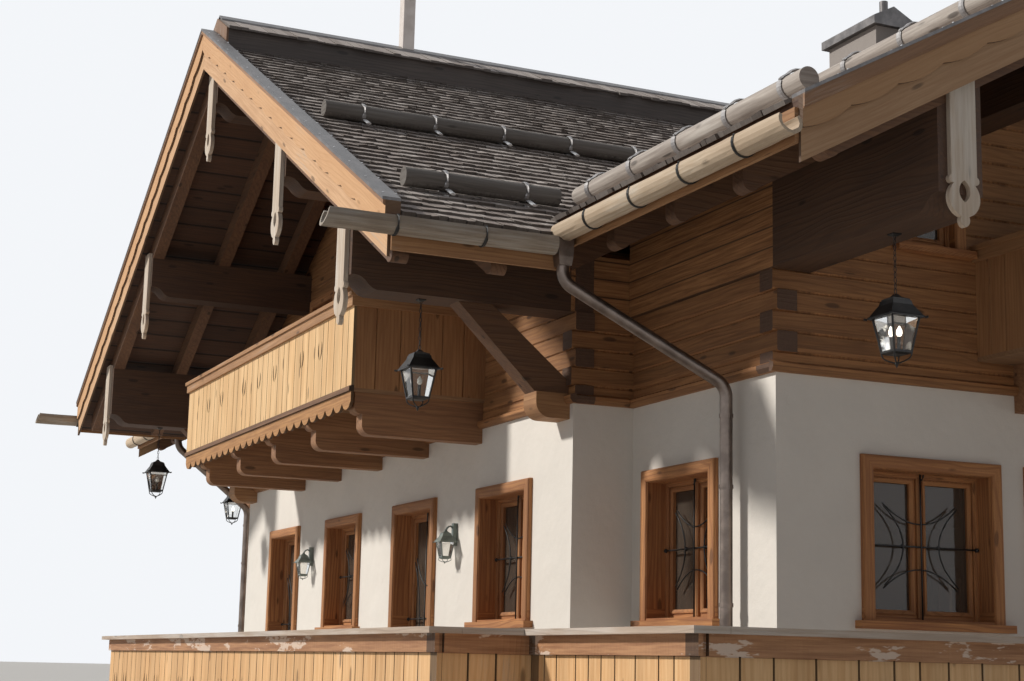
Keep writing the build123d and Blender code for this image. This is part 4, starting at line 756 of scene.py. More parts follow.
def grid_faces(rows: int, columns: int, closed_rows: bool = False, closed_columns: bool = False) -> Array:
    """Quads of a grid of points, numbered row by row.

    Args:
        rows: Points one way.
        columns: Points the other way.
        closed_rows: True if the last row joins the first.
        closed_columns: True if the last column joins the first.

    Returns:
        One row of four corners for each quad.
    """
    i = np.arange(rows if closed_rows else rows - 1)[:, None]
    j = np.arange(columns if closed_columns else columns - 1)[None, :]
    i, j = np.broadcast_arrays(i, j)
    down, right = (i + 1) % rows, (j + 1) % columns
    corners = [i * columns + j, i * columns + right, down * columns + right, down * columns + j]
    return np.stack(corners, -1).reshape(-1, 4)


def tube(path: Array, radius: "float | Array", sides: int = 8, flat: float = 1.0) -> tuple[Array, list]:
    """Rod along a path with closed ends.

    Each ring is a circle, squeezed by flat one way, in the plane across the path's run
    there; its first direction is the run turned off the upright.

    Args:
        path: Points of the middle line.
        radius: One radius or one for each point.
        sides: Faces round the rod.
        flat: Thickness one way as a share of the other.

    Returns:
        Points and faces.
    """
    path = np.asarray(path, float)
    run = np.gradient(path, axis=0)
    run /= np.linalg.norm(run, axis=1, keepdims=True)
    helper = np.where(np.abs(run[:, 2:]) > 0.9, (0.0, 1.0, 0.0), (0.0, 0.0, 1.0))
    first = np.cross(run, helper)
    first /= np.linalg.norm(first, axis=1, keepdims=True)
    second = np.cross(run, first)
    angle = np.linspace(0, 2 * np.pi, sides, endpoint=False)
    radius = np.broadcast_to(radius, len(path))[:, None, None]
    ring = (np.cos(angle)[None, :, None] * first[:, None]
            + flat * np.sin(angle)[None, :, None] * second[:, None])
    points = (path[:, None] + radius * ring).reshape(-1, 3)
    faces = grid_faces(len(path), sides, closed_columns=True)[:, ::-1].tolist()
    faces.append(list(range(sides)))
    faces.append([len(points) - 1 - i for i in range(sides)])
    return points, faces


@dataclass
class Slope:
    """One roof slope: points are a distance up from the eaves and a place along them."""

    corner: Array
    up: Array
    along: Array
    length: float
    limits: Callable[[Array], list[tuple[Array, Array]]]

    def at(self, rise: Array, place: Array, lift: Array) -> Array:
        """Points, each with its distance up the slope, place along it and height off it."""
        normal = np.cross(self.along, self.up)
        normal = normal * np.sign(normal[2])
        return self.corner + rise[:, None] * self.up + place[:, None] * self.along + lift[:, None] * normal


@dataclass
class Shingles:
    """Courses of split shingles on every slope."""

    house: House
    exposure: float = 0.165
    mean_width: float = 0.105
    butt: float = 0.036
    head: float = 0.012
    lap: float = 0.03
    overhang: float = 0.045
    verge_gap: float = 0.008
    side_gap: float = 0.003
    least_width: float = 0.02
    least_course: float = 0.05
    under_caps: float = 0.2
    widths: tuple[float, float] = (0.6, 1.5)
    thicknesses: tuple[float, float] = (0.86, 1.12)
    uneven_foot: float = 0.009
    uneven_tilt: float = 0.0025

    def slopes(self) -> dict[str, list[Slope]]:
        """The slopes by the name of their piece, with the stretches that the valleys leave."""
        h = self.house
        pitch = np.hypot(1.0, h.rise)
        verge = h.gable_overhang - h.kerb - self.verge_gap
        front, back = -verge, h.length + verge
        wing_end = h.wing_end + verge
        length = h.main_run * pitch
        wing_length = h.wing_run * pitch

        def main_limits(rise: Array) -> list[tuple[Array, Array]]:
            half = np.clip(h.main_run - rise / pitch - h.valley_top, 0.0, h.wing_run)
            return [(np.full_like(rise, front), h.wing_ridge - half),
                    (h.wing_ridge + half, np.full_like(rise, back))]

        def wing_limits(rise: Array) -> list[tuple[Array, Array]]:
            return [(h.valley_foot - rise / pitch, np.full_like(rise, wing_end))]

        up = np.array([-1.0, 0.0, h.rise]) / pitch
        made: dict[str, list[Slope]] = {}
        for side, name in ((1, "main_right_shingles"), (-1, "main_left_shingles")):
            corner = np.array([side * h.main_run, 0.0, h.eaves_top])
            made[name] = [Slope(corner, up * (side, 1, 1), NORTH, length, main_limits)]
        for way, name in ((-1, "wing_front_shingles"), (1, "wing_back_shingles")):
            made[name] = [
                Slope(np.array([0.0, h.wing_ridge + way * h.wing_run, h.eaves_top + h.wing_raise]),
                      np.array([0.0, -way, h.rise]) / pitch, side * EAST, wing_length, wing_limits)
                for side in (1, -1)
            ]
        return made

    def course(self, piece: Piece, slope: Slope, rise: float, low: Array, high: Array,
               random: np.random.Generator) -> None:
        """One course between two limits, each given at the butt and at the head."""
        if high[0] - low[0] < self.least_course:
            return
        count = int((high[0] - low[0]) / self.mean_width) + 2
        widths = random.uniform(*self.widths, count) * self.mean_width
        edges = low[0] - random.uniform(0, self.mean_width) + np.concatenate([[0.0], np.cumsum(widths)])
        edges = edges[edges < high[0] + self.mean_width]
        left, right = edges[:-1] + self.side_gap, edges[1:] - self.side_gap
        corners = [np.clip(edge, low[i], high[i]) for i in (0, 1) for edge in (left, right)]
        keep = (corners[1] - corners[0] > self.least_width) | (corners[3] - corners[2] > self.least_width)
        left0, right0, left1, right1 = (c[keep] for c in corners)
        n = len(left0)
        if not n:
            return
        foot = rise + random.normal(0, self.uneven_foot, n)
        top = np.full(n, rise + self.exposure + self.lap)
        lift = self.butt * random.uniform(*self.thicknesses, n)
        tilt = random.normal(0, self.uneven_tilt, n)
        zero, head = np.zeros(n), np.full(n, self.head)
        layout = [(foot, left0, zero), (foot, right0, zero), (top, right1, zero), (top, left1, zero),
                  (foot, left0, lift + tilt), (foot, right0, lift - tilt),
                   (top, right1, head), (top, left1, head)]
        rows = np.stack([slope.at(*spot) for spot in layout], axis=1)
        faces = (np.arange(n)[:, None, None] * 8 + np.array(BOX_FACES)).reshape(-1, 4)
        if np.cross(slope.up, slope.along)[2] > 0:
            faces = faces[:, ::-1]
        tint = np.repeat(random.uniform(0, 1, n), 8)
        grain = np.stack([np.stack(spot, -1) for spot in layout], axis=1)
        piece.add(rows.reshape(-1, 3), faces, tint, grain.reshape(-1, 3))

    def build(self, material: bpy.types.Material) -> None:
        """Lays the courses from the eaves up to the ridge caps."""
        random = np.random.default_rng(SEED)
        for name, slopes in self.slopes().items():
            piece = Piece(self.house, name)
            for slope in slopes:
                rises = np.arange(-self.overhang, slope.length - self.under_caps, self.exposure)
                for rise in rises:
                    ends = np.clip(np.array([rise, rise + self.exposure + self.lap]), 0.0, slope.length)
                    for low, high in slope.limits(ends):
                        self.course(piece, slope, rise, low, high, random)
            piece.finish(material, "shingles")


@dataclass
class RidgeCaps:
    """Raised caps on the ridges: a course of shingle ends, end boards and a metal strip."""

    house: House
    half: float = 0.45
    thick: float = 0.27
    setback: float = 0.12
    strip: float = 0.13
    pitch: float = 0.11
    past_side: float = 0.045
    side_gap: float = 0.002
    head: float = 0.012
    end_board: float = 0.022

    def stretches(self) -> list[tuple[Array, Array, Array, float]]:
        """Start, run direction, side direction and length of each ridge."""
        h = self.house
        start = -h.gable_overhang + self.setback
        top = float(h.main_roof(0.0)) + self.thick
        wing_top = float(h.wing_roof(0.0)) + self.thick
        wing_start = h.main_run - (wing_top - h.eaves_top) / h.rise
        made = [(np.array([0.0, start, top]), NORTH, EAST, h.length - 2 * start)]
        for side in (1, -1):
            made.append((np.array([side * wing_start, h.wing_ridge, wing_top]), side * EAST, NORTH,
                         h.wing_end - start - wing_start))
        return made

    def build(self, shingle: bpy.types.Material, metal: bpy.types.Material,
              board: bpy.types.Material) -> None:
        """Shingle ends along both sides, then the strip that folds over the ridge."""
        random = np.random.default_rng(SEED + 1)
        ends, strips = Piece(self.house, "ridge_shingles"), Piece(self.house, "ridge_strips")
        h = self.house
        for start, run, across, length in self.stretches():
            for way in (1, -1):
                n = int(length / self.pitch)
                edges = np.sort(random.uniform(-0.02, 0.02, n + 1) + np.linspace(0.0, length, n + 1))
                left, right = edges[:-1] + self.side_gap, edges[1:] - self.side_gap
                reach = self.half + self.past_side + random.normal(0, 0.012, n)
                inner = np.full(n, self.strip * 0.5)
                low, high = random.uniform(0.0, 0.006, n), random.uniform(0.02, 0.04, n)

                def at(place: Array, out: Array, lift: Array) -> Array:
                    down = np.stack([np.zeros(n), np.zeros(n), lift - h.rise * out], -1)
                    return start + place[:, None] * run + way * out[:, None] * across + down

                foot = [(left, reach), (right, reach), (right, inner), (left, inner)]
                lifts = [low, low, low, low, high, high, low + self.head, low + self.head]
                rows = np.stack([at(*spot, lift) for spot, lift in zip(foot * 2, lifts)], axis=1)
                faces = (np.arange(n)[:, None, None] * 8 + np.array(BOX_FACES)).reshape(-1, 4)
                if np.dot(np.cross(run, -way * across), (0, 0, 1)) < 0:
                    faces = faces[:, ::-1]
                grain = np.stack([np.stack([out, place, low], -1) for place, out in foot * 2], axis=1)
                tint = np.repeat(random.uniform(0.3, 1, n), 8)
                ends.add(rows.reshape(-1, 3), faces, tint, grain.reshape(-1, 3))
            side = self.strip * np.array([-1.0, -1.0, 0.0, 1.0, 1.0, 0.0])
            height = np.array([-0.012, 0.022, 0.03, 0.022, -0.012, 0.012]) + 0.014 - h.rise * np.abs(side)
            section = np.outer(side, across) + np.outer(height, UP)
            rows = np.concatenate([start + section, start + length * run + section])
            strips.add(rows, prism_faces(len(section)))
        ends.finish(shingle, "shingles")
        strips.finish(metal, "dark_metal")
        self.end_boards(board)

    def end_boards(self, wood: bpy.types.Material) -> None:
        """Upright board that closes each end of the caps."""
        boards = Piece(self.house, "ridge_end_boards")
        side = np.array([-self.half, 0.0, self.half, self.half, 0.0, -self.half])
        up = np.repeat([0.0, self.thick], 3) - self.house.rise * np.abs(side)
        for start, run, across, length in self.stretches():
            base = start - self.thick * UP
            spots = [(base + run * length, 1.0)]
            if run[1] > 0:
                spots.append((base, -1.0))
            for place, way in spots:
                section = place + np.outer(side, across) + np.outer(up, UP)
                rows = np.concatenate([section, section + way * self.end_board * run])
                boards.add(rows, prism_faces(len(section)), 0.5, rows[:, [2, 0, 1]])
        boards.finish(wood, "dark_wood")


@dataclass(frozen=True)
class WallFace:
    """Face of a wall: a start, the way along it and the way out."""

    start: tuple[float, float]
    along: tuple[float, float]
    out: tuple[float, float]
    mirrored: bool = False

    def at(self, along: "float | Array", height: "float | Array", out: "float | Array") -> Array:
        """Points at a place along the wall, a height and a distance off its face."""
        along, height, out = np.broadcast_arrays(along, height, out)
        x = self.start[0] + along * self.along[0] + out * self.out[0]
        y = self.start[1] + along * self.along[1] + out * self.out[1]
        return np.stack([x, y, height], -1)

    @property
    def sides(self) -> tuple[bool, ...]:
        """False for the face itself and True for its mirror image, if it has one."""
        return BOTH_SIDES if self.mirrored else BOTH_SIDES[:1]

    @property
    def signs(self) -> tuple[int, ...]:
        """Factors of x that give the face itself and its mirror image, if it has one."""
        return (1, -1) if self.mirrored else (1,)

    @property
    def turned(self) -> bool:
        """True where along, up and out make a left hand."""
        return self.along[0] * self.out[1] - self.along[1] * self.out[0] > 0


@dataclass(frozen=True)
class Opening:
    """Window or door: its casing's outer size on a wall face."""

    face: WallFace
    centre: float
    width: float
    sill: float
    head: float
    leaves: int = 2
    upper: bool = False

    @property
    def is_door(self) -> bool:
        """A door's foot is on the floor."""
        return self.sill < (3.3 if self.upper else 0.2)

    @property
    def board(self) -> float:
        """Width of the casing's boards."""
        return 0.11 if self.upper else 0.105

    @property
    def sash_depth(self) -> float:
        """Depth of the leaves behind the wall's face."""
        return 0.07 if self.upper else 0.18

    @property
    def lining(self) -> float:
        """Height of the lining board on a window's sill."""
        return 0.0 if self.is_door else 0.02


@dataclass
class Windows:
    """Casing mouldings, beads round the panes and the wrought grilles."""

    house: House
    width: float = 1.22
    sill: float = 1.17
    head: float = 2.43
    floor: float = 0.15
    last: float = 3.59
    pitch: float = 2.28
    stile: float = 0.075
    bead: float = 0.032
    overlap: float = 0.03
    strip: float = 0.024
    grille_depth: float = 0.15

    def openings(self) -> list[Opening]:
        """All openings of the right half and the gables; side ones are mirrored later."""
        h = self.house
        front, back, wing_gable = h.gable_faces()
        side = WallFace((h.main_half, 0.0), (0.0, 1.0), (1.0, 0.0), True)
        wing_front = WallFace((h.main_half, h.wing_setback), (1.0, 0.0), (0.0, -1.0), True)
        wing_back = h.wing_setback + 2 * h.wing_half
        wing_rear = WallFace((h.main_half, wing_back), (-1.0, 0.0), (0.0, 1.0), True)
        w, s, t, f = self.width, self.sill, self.head, self.floor
        made = [Opening(front, self.last - self.pitch * i, w, f if i % 2 else s, t) for i in range(4)]
        made += [Opening(back, self.last - self.pitch * i, w, s, t) for i in range(4)]
        made += [Opening(wing_front, 0.825, w, s, t), Opening(wing_rear, -0.825, w, s, t),
                 Opening(side, (wing_back + h.length) / 2, w, s, t),
                 Opening(wing_gable, -2.145, 1.33, s, t), Opening(wing_gable, 2.145, 1.33, s, t),
                 Opening(wing_gable, 0.0, 2.48, f, t)]
        for wall in (front, back):
            made += [Opening(wall, place, 1.0, 4.0, 5.25, 2, True) for place in (-2.05, 2.05)]
        made.append(Opening(front, 0.0, 1.1, 3.285, 5.25, 2, True))
        made += [Opening(wing_gable, place, 0.64, 4.13, 4.8, 1, True) for place in (-2.09, 2.09)]
        made.append(Opening(wing_gable, 0.0, 1.1, 3.285, 5.25, 2, True))
        return made

    def frame(self, piece: Piece, opening: Opening, outer: float, inner: float, profile: Array, out: float,
              span: tuple[float, float] | None = None, foot: float | None = None) -> None:
        """Carries a moulding round an opening with mitred corners.

        The profile's points are (share from the outer edge to the inner one, height off
        out). Without a foot the moulding stands open on the sill or the floor.

        Args:
            piece: The mesh to add to.
            opening: The window or door.
            outer: Distance of the outer edge inside the casing's edge.
            inner: Distance of the inner edge.
            profile: Rows of share and height.
            out: Distance off the wall's face.
            span: Left and right edges, if not the whole width.
            foot: Height of the outer edge's foot, if the moulding runs all round.
        """
        left, right = span or (opening.centre - opening.width / 2, opening.centre + opening.width / 2)
        inset = outer + (inner - outer) * profile[:, 0]
        closed = foot is not None
        low = foot if closed else opening.sill
        bottom = low + inset if closed else np.full_like(inset, low)
        top = opening.head - inset
        us = np.stack([left + inset, left + inset, right - inset, right - inset], -1)
        vs = np.stack([bottom, top, top, bottom], -1)
        ws = np.repeat((out + profile[:, 1])[:, None], 4, axis=1)
        points = opening.face.at(us, vs, ws).reshape(-1, 3)
        rows = len(profile)
        faces = grid_faces(rows, 4, closed_columns=closed)
        if opening.face.turned:
            faces = faces[:, ::-1]
        tall = opening.head - low
        length = np.array([0.0, tall, tall + right - left, 2 * tall + right - left])
        grain = np.stack([np.broadcast_to(length, (rows, 4)), np.repeat(inset[:, None], 4, 1), ws], -1)
        tint = (opening.centre * 7.13 + out * 3.1) % 1.0
        piece.add_each(opening.face.sides, points, faces, tint, grain)

    def mouldings(self, material: bpy.types.Material) -> None:
        """Rounded casing boards, an inner frame board and beads round every pane."""
        casing, beads = Piece(self.house, "casing_mouldings"), Piece(self.house, "sash_beads")
        turn = np.linspace(0.0, np.pi, 9)
        bulge = np.c_[(1 - np.cos(turn)) / 2, 0.017 * np.sin(turn) ** 0.6 + 0.001]
        step = np.array([(0.0, 0.0), (0.0, 0.03), (0.55, 0.03), (0.7, 0.018), (1.0, 0.018), (1.0, 0.0)])
        quarter = np.array([(0.0, 0.0), (0.0, 0.012), (0.4, 0.012), (0.75, 0.006), (1.0, 0.0)])
        for opening in self.openings():
            board = opening.board
            self.frame(casing, opening, 0.004, board - 0.004, bulge, 0.03)
            self.frame(casing, opening, board - 0.002, board + 0.035, step, -opening.sash_depth)
            inset = self.stile - self.overlap
            left = opening.centre - opening.width / 2 + board
            leaf = (opening.width - 2 * board) / opening.leaves
            foot = opening.sill + (0.2 - self.overlap if opening.is_door else opening.lining + inset)
            for i in range(opening.leaves):
                span = (left + leaf * i + inset, left + leaf * (i + 1) - inset)
                self._bead(beads, opening, span, foot, opening.head - board - inset, quarter)
            if opening.leaves == 2:
                places = [opening.centre - self.strip, opening.centre + self.strip]
                heights = [opening.sill + opening.lining + 0.02, opening.head - board - 0.02]
                self._strip(beads, opening, opening.face.at(*np.meshgrid(places, heights), 0.0))
        casing.finish(material, "larch")
        beads.finish(material, "larch")

    def _bead(self, piece: Piece, opening: Opening, span: tuple[float, float], foot: float, head: float,
              profile: Array) -> None:
        """Small moulding round one pane."""
        self.frame(piece, replace(opening, head=head), 0.0, self.bead, profile,
                   -opening.sash_depth, span, foot)

    def _strip(self, piece: Piece, opening: Opening, corners: Array) -> None:
        """Cover strip where two leaves meet."""
        flat = corners.reshape(-1, 3)
        out = np.array([*opening.face.out, 0.0])
        low, high = flat - out * opening.sash_depth, flat - out * (opening.sash_depth - 0.022)
        points = np.concatenate([low[[0, 1, 3, 2]], high[[0, 1, 3, 2]]])
        faces = np.array(BOX_FACES)
        if opening.face.turned:
            faces = faces[:, ::-1]
        piece.add_each(opening.face.sides, points, faces, (opening.centre * 3.7) % 1.0, points[:, [2, 0, 1]])

    def grilles(self, material: bpy.types.Material) -> None:
        """Level rod, upright rod with hooked ends, two bows and two arcs before each ground window."""
        piece = Piece(self.house, "window_grilles")
        for opening in self.openings():
            if opening.upper or opening.width > 2.0:
                continue
            half = opening.width / 2 - opening.board + 0.005
            low = opening.sill + opening.lining
            high = opening.head - opening.board
            place = opening.centre

            def rod(us: Array, share: Array, radius: float, sides: int = 6, off: float = 0.0) -> None:
                path = opening.face.at(place + us * half, low + share * (high - low), off - self.grille_depth)
                piece.add_each(opening.face.sides, *tube(path, radius, sides))

            t = np.linspace(-1.0, 1.0, 13)
            rod(np.array([-1.0, 0.0, 1.0]), np.full(3, 0.5), 0.008)
            rod(np.zeros(3), np.array([0.0, 0.5, 1.0]), 0.007, off=0.014)
            for side in (-1, 1):
                rod(side * (0.30 + 0.32 * t * t), 0.5 + 0.27 * t, 0.006, off=0.01)
                rod(0.62 * t, 0.5 + side * (0.155 + 0.135 * t * t), 0.006, off=-0.006)
                rod(np.array([side * 0.95, side * 0.99]), np.full(2, 0.5), 0.017, 8)
                rod(side * np.array([0.32, 0.30, 0.28]), np.full(3, 0.5), 0.016, 8)
            hook = np.linspace(0.0, np.pi, 7)
            rod(0.05 * np.sin(hook), 1.0 + 0.04 * np.cos(hook), 0.007, off=0.02)
        piece.finish(material, "black_iron", True)

    def build(self, wood: bpy.types.Material, iron: bpy.types.Material) -> None:
        """Mouldings and grilles."""
        self.mouldings(wood)
        self.grilles(iron)


@dataclass
class Boarding:
    """Boards of the balconies and the terrace, with real joints between them."""

    house: House
    width: float = 0.2
    depth: float = 0.014
    gap: float = 0.011
    proud: float = 0.01

    def wedges(self, spots: Iterable[tuple[Array, Array, float, float]]) -> bpy.types.Object:
        """Mesh of upright wedges that cut the joints.

        Args:
            spots: For each joint a point on the boards' face, the way out, and the
                heights of its foot and top.

        Returns:
            A loose object for the cut.
        """
        points: list[Array] = []
        faces: list[list[int]] = []
        for face, out, foot, top in spots:
            side = np.array([-out[1], out[0], 0.0]) * self.gap
            near = face + self.proud * out
            section = [near + side, near - side, face - self.depth * out]
            first = 6 * len(points)
            points.append(np.array([[*corner[:2], height] for height in (foot, top) for corner in section]))
            faces += [[first + corner for corner in item] for item in
                      ((0, 1, 2), (5, 4, 3), (0, 3, 4, 1), (1, 4, 5, 2), (2, 5, 3, 0))]
        return self._cutter("joints", points, faces)

    def _cutter(self, name: str, points: list[Array], faces: list[list[int]]) -> bpy.types.Object:
        """Loose object from parts in house coordinates."""
        mesh = bpy.data.meshes.new(name)
        mesh.from_pydata(self.house.shift(np.concatenate(points)).tolist(), [], faces)
        return bpy.data.objects.new(name, mesh)

    def sunk(self, spots: list[tuple[WallFace, float, float, float]], outline: Array, near: float,
             far: float) -> bpy.types.Object:
        """Mesh of one outline, repeated, that cuts holes into upright boards.

        Args:
            spots: Wall face, place along it, height and distance off it of each hole.
            outline: Points of the outline as (sideways, up).
            near: How far the cutter stands out of the boards.
            far: How deep it goes.

        Returns:
            A loose object for the cut.
        """
        n = len(outline)
        points, faces = [], []
        for face, place, height, off in spots:
            for sign in face.signs:
                first = 2 * n * len(points)
                rows = np.concatenate([face.at(place + outline[:, 0], height + outline[:, 1], off + reach)
                                       for reach in (near, -far)])
                points.append(rows * (sign, 1.0, 1.0))
                step = -1 if face.turned == (sign > 0) else 1
                faces += [[first + corner for corner in item[::step]] for item in prism_faces(n)]
        return self._cutter("holes", points, faces)

    def cut(self, node: str, name: str, cutters: Sequence[bpy.types.Object], material: bpy.types.Material) -> None:
        """Merged copy of a CAD node with joints or holes cut into it, which replaces the node."""
        copy = bpy.data.objects.new(name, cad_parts[node].data.copy())
        scene = bpy.context.scene
        for item in (copy, *cutters):
            scene.collection.objects.link(item)
        weld = copy.modifiers.new("weld", "WELD")
        weld.merge_threshold = 1e-5
        for cutter in cutters:
            joints = copy.modifiers.new("joints", "BOOLEAN")
            joints.object, joints.operation, joints.solver = cutter, "DIFFERENCE", "EXACT"
        bpy.context.view_layer.update()
        mesh = bpy.data.meshes.new_from_object(copy.evaluated_get(bpy.context.evaluated_depsgraph_get()))
        mesh.name = name
        copy.modifiers.clear()
        copy.data = mesh
        mesh.materials.clear()
        mesh.materials.append(material)
        for cutter in cutters:
            bpy.data.objects.remove(cutter)
        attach(copy, "root")
        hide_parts(node)
        LOG.info("%s: %d faces", name, len(mesh.polygons))

    def joints_along(self, start: float, stop: float, random: np.random.Generator) -> Array:
        """Places of the joints between two ends, with boards of uneven widths."""
        widths = random.uniform(0.72, 1.25, int((stop - start) / self.width) + 4) * self.width
        places = start + np.cumsum(widths)
        return places[places < stop - 0.6 * self.width]

    def build(self, balcony: "Balconies", terrace: "Terrace", larch: bpy.types.Material,
              end_wood: bpy.types.Material, honey: bpy.types.Material) -> None:
        """Cuts the joints of the balcony fronts, their ends and the terrace panels."""
        random = np.random.default_rng(SEED + 2)
        fronts, ends, diamonds, panels = [], [], [], []
        for face, centre, width in balcony.spans():
            left = centre - width / 2
            out, along = np.array([*face.out, 0.0]), np.array([*face.along, 0.0])
            flips = [np.array([sign, 1.0, 1.0]) for sign in face.signs]
            for place in self.joints_along(left, left + width, random):
                spot = face.at(place, 0.0, balcony.depth)
                fronts += [(spot * flip, out * flip, *balcony.front_joints) for flip in flips]
            for side in (-1, 1):
                for reach in self.joints_along(balcony.wall_gap, balcony.depth, random):
                    spot = face.at(centre + side * width / 2, 0.0, reach)
                    ends += [(spot * flip, side * along * flip, *balcony.end_joints) for flip in flips]
            teeth = round(width / balcony.tooth)
            diamonds += [(face, left + width / teeth * i, balcony.notch, balcony.depth)
                         for i in range(1, teeth)]
        for corner, along, out, length in terrace.runs():
            for place in self.joints_along(0.0, length, random):
                panels.append((corner + along * place, out, *terrace.joints))
        holes = self.sunk(diamonds, balcony.diamond, balcony.cut_depth, balcony.cut_depth)
        self.cut("balcony_fronts", "balcony_front_boards", (self.wedges(fronts), holes), larch)
        self.cut("balcony_ends", "balcony_end_boards", (self.wedges(ends),), end_wood)
        self.cut("terrace_panels", "terrace_boards", (self.wedges(panels),), honey)


@dataclass
class Balconies:
    """The three balconies' places, and where their boards are cut."""

    house: House
    depth: float = 1.35
    front_centre: float = -0.08
    front_width: float = 6.28
    wing_width: float = 3.32
    wall_gap: float = 0.02
    front_joints: tuple[float, float] = (3.30, 4.05)
    end_joints: tuple[float, float] = (3.0, 4.2)
    tooth: float = 0.25
    notch: float = 3.158
    diamond_half: tuple[float, float] = (0.0304, 0.0456)
    cut_depth: float = 0.05

    @property
    def diamond(self) -> Array:
        """Outline of the hole between two teeth, as (sideways, up)."""
        wide, tall = self.diamond_half
        return np.array([(0.0, -tall), (wide, 0.0), (0.0, tall), (-wide, 0.0)])

    def spans(self) -> list[tuple[WallFace, float, float]]:
        """Wall face, centre and width of each balcony."""
        front, _, wing = self.house.gable_faces()
        return [(front, self.front_centre, self.front_width), (wing, 0.0, self.wing_width)]


@dataclass
class Terrace:
    """The board balustrade round the terrace."""

    house: House
    start: float = 0.3
    front: float = 2.85
    corner: float = 4.15
    side: float = 3.78
    bay: float = 1.65
    bays: int = 6
    joints: tuple[float, float] = (0.15, 0.84)

    def runs(self) -> list[tuple[Array, Array, Array, float]]:
        """Corner, way along, way out and length of each run of boards."""
        h = self.house
        corner_x, corner_y = h.main_half + self.corner, -self.front
        outer_x, jog_y = h.wing_end + self.side, h.wing_setback - self.front
        return [(np.array([self.start, corner_y, 0.0]), EAST, -NORTH, corner_x - self.start),
                (np.array([corner_x, corner_y, 0.0]), NORTH, EAST, jog_y - corner_y),
                (np.array([corner_x, jog_y, 0.0]), EAST, -NORTH, outer_x - corner_x),
                (np.array([outer_x, jog_y, 0.0]), NORTH, EAST, self.bay * self.bays)]


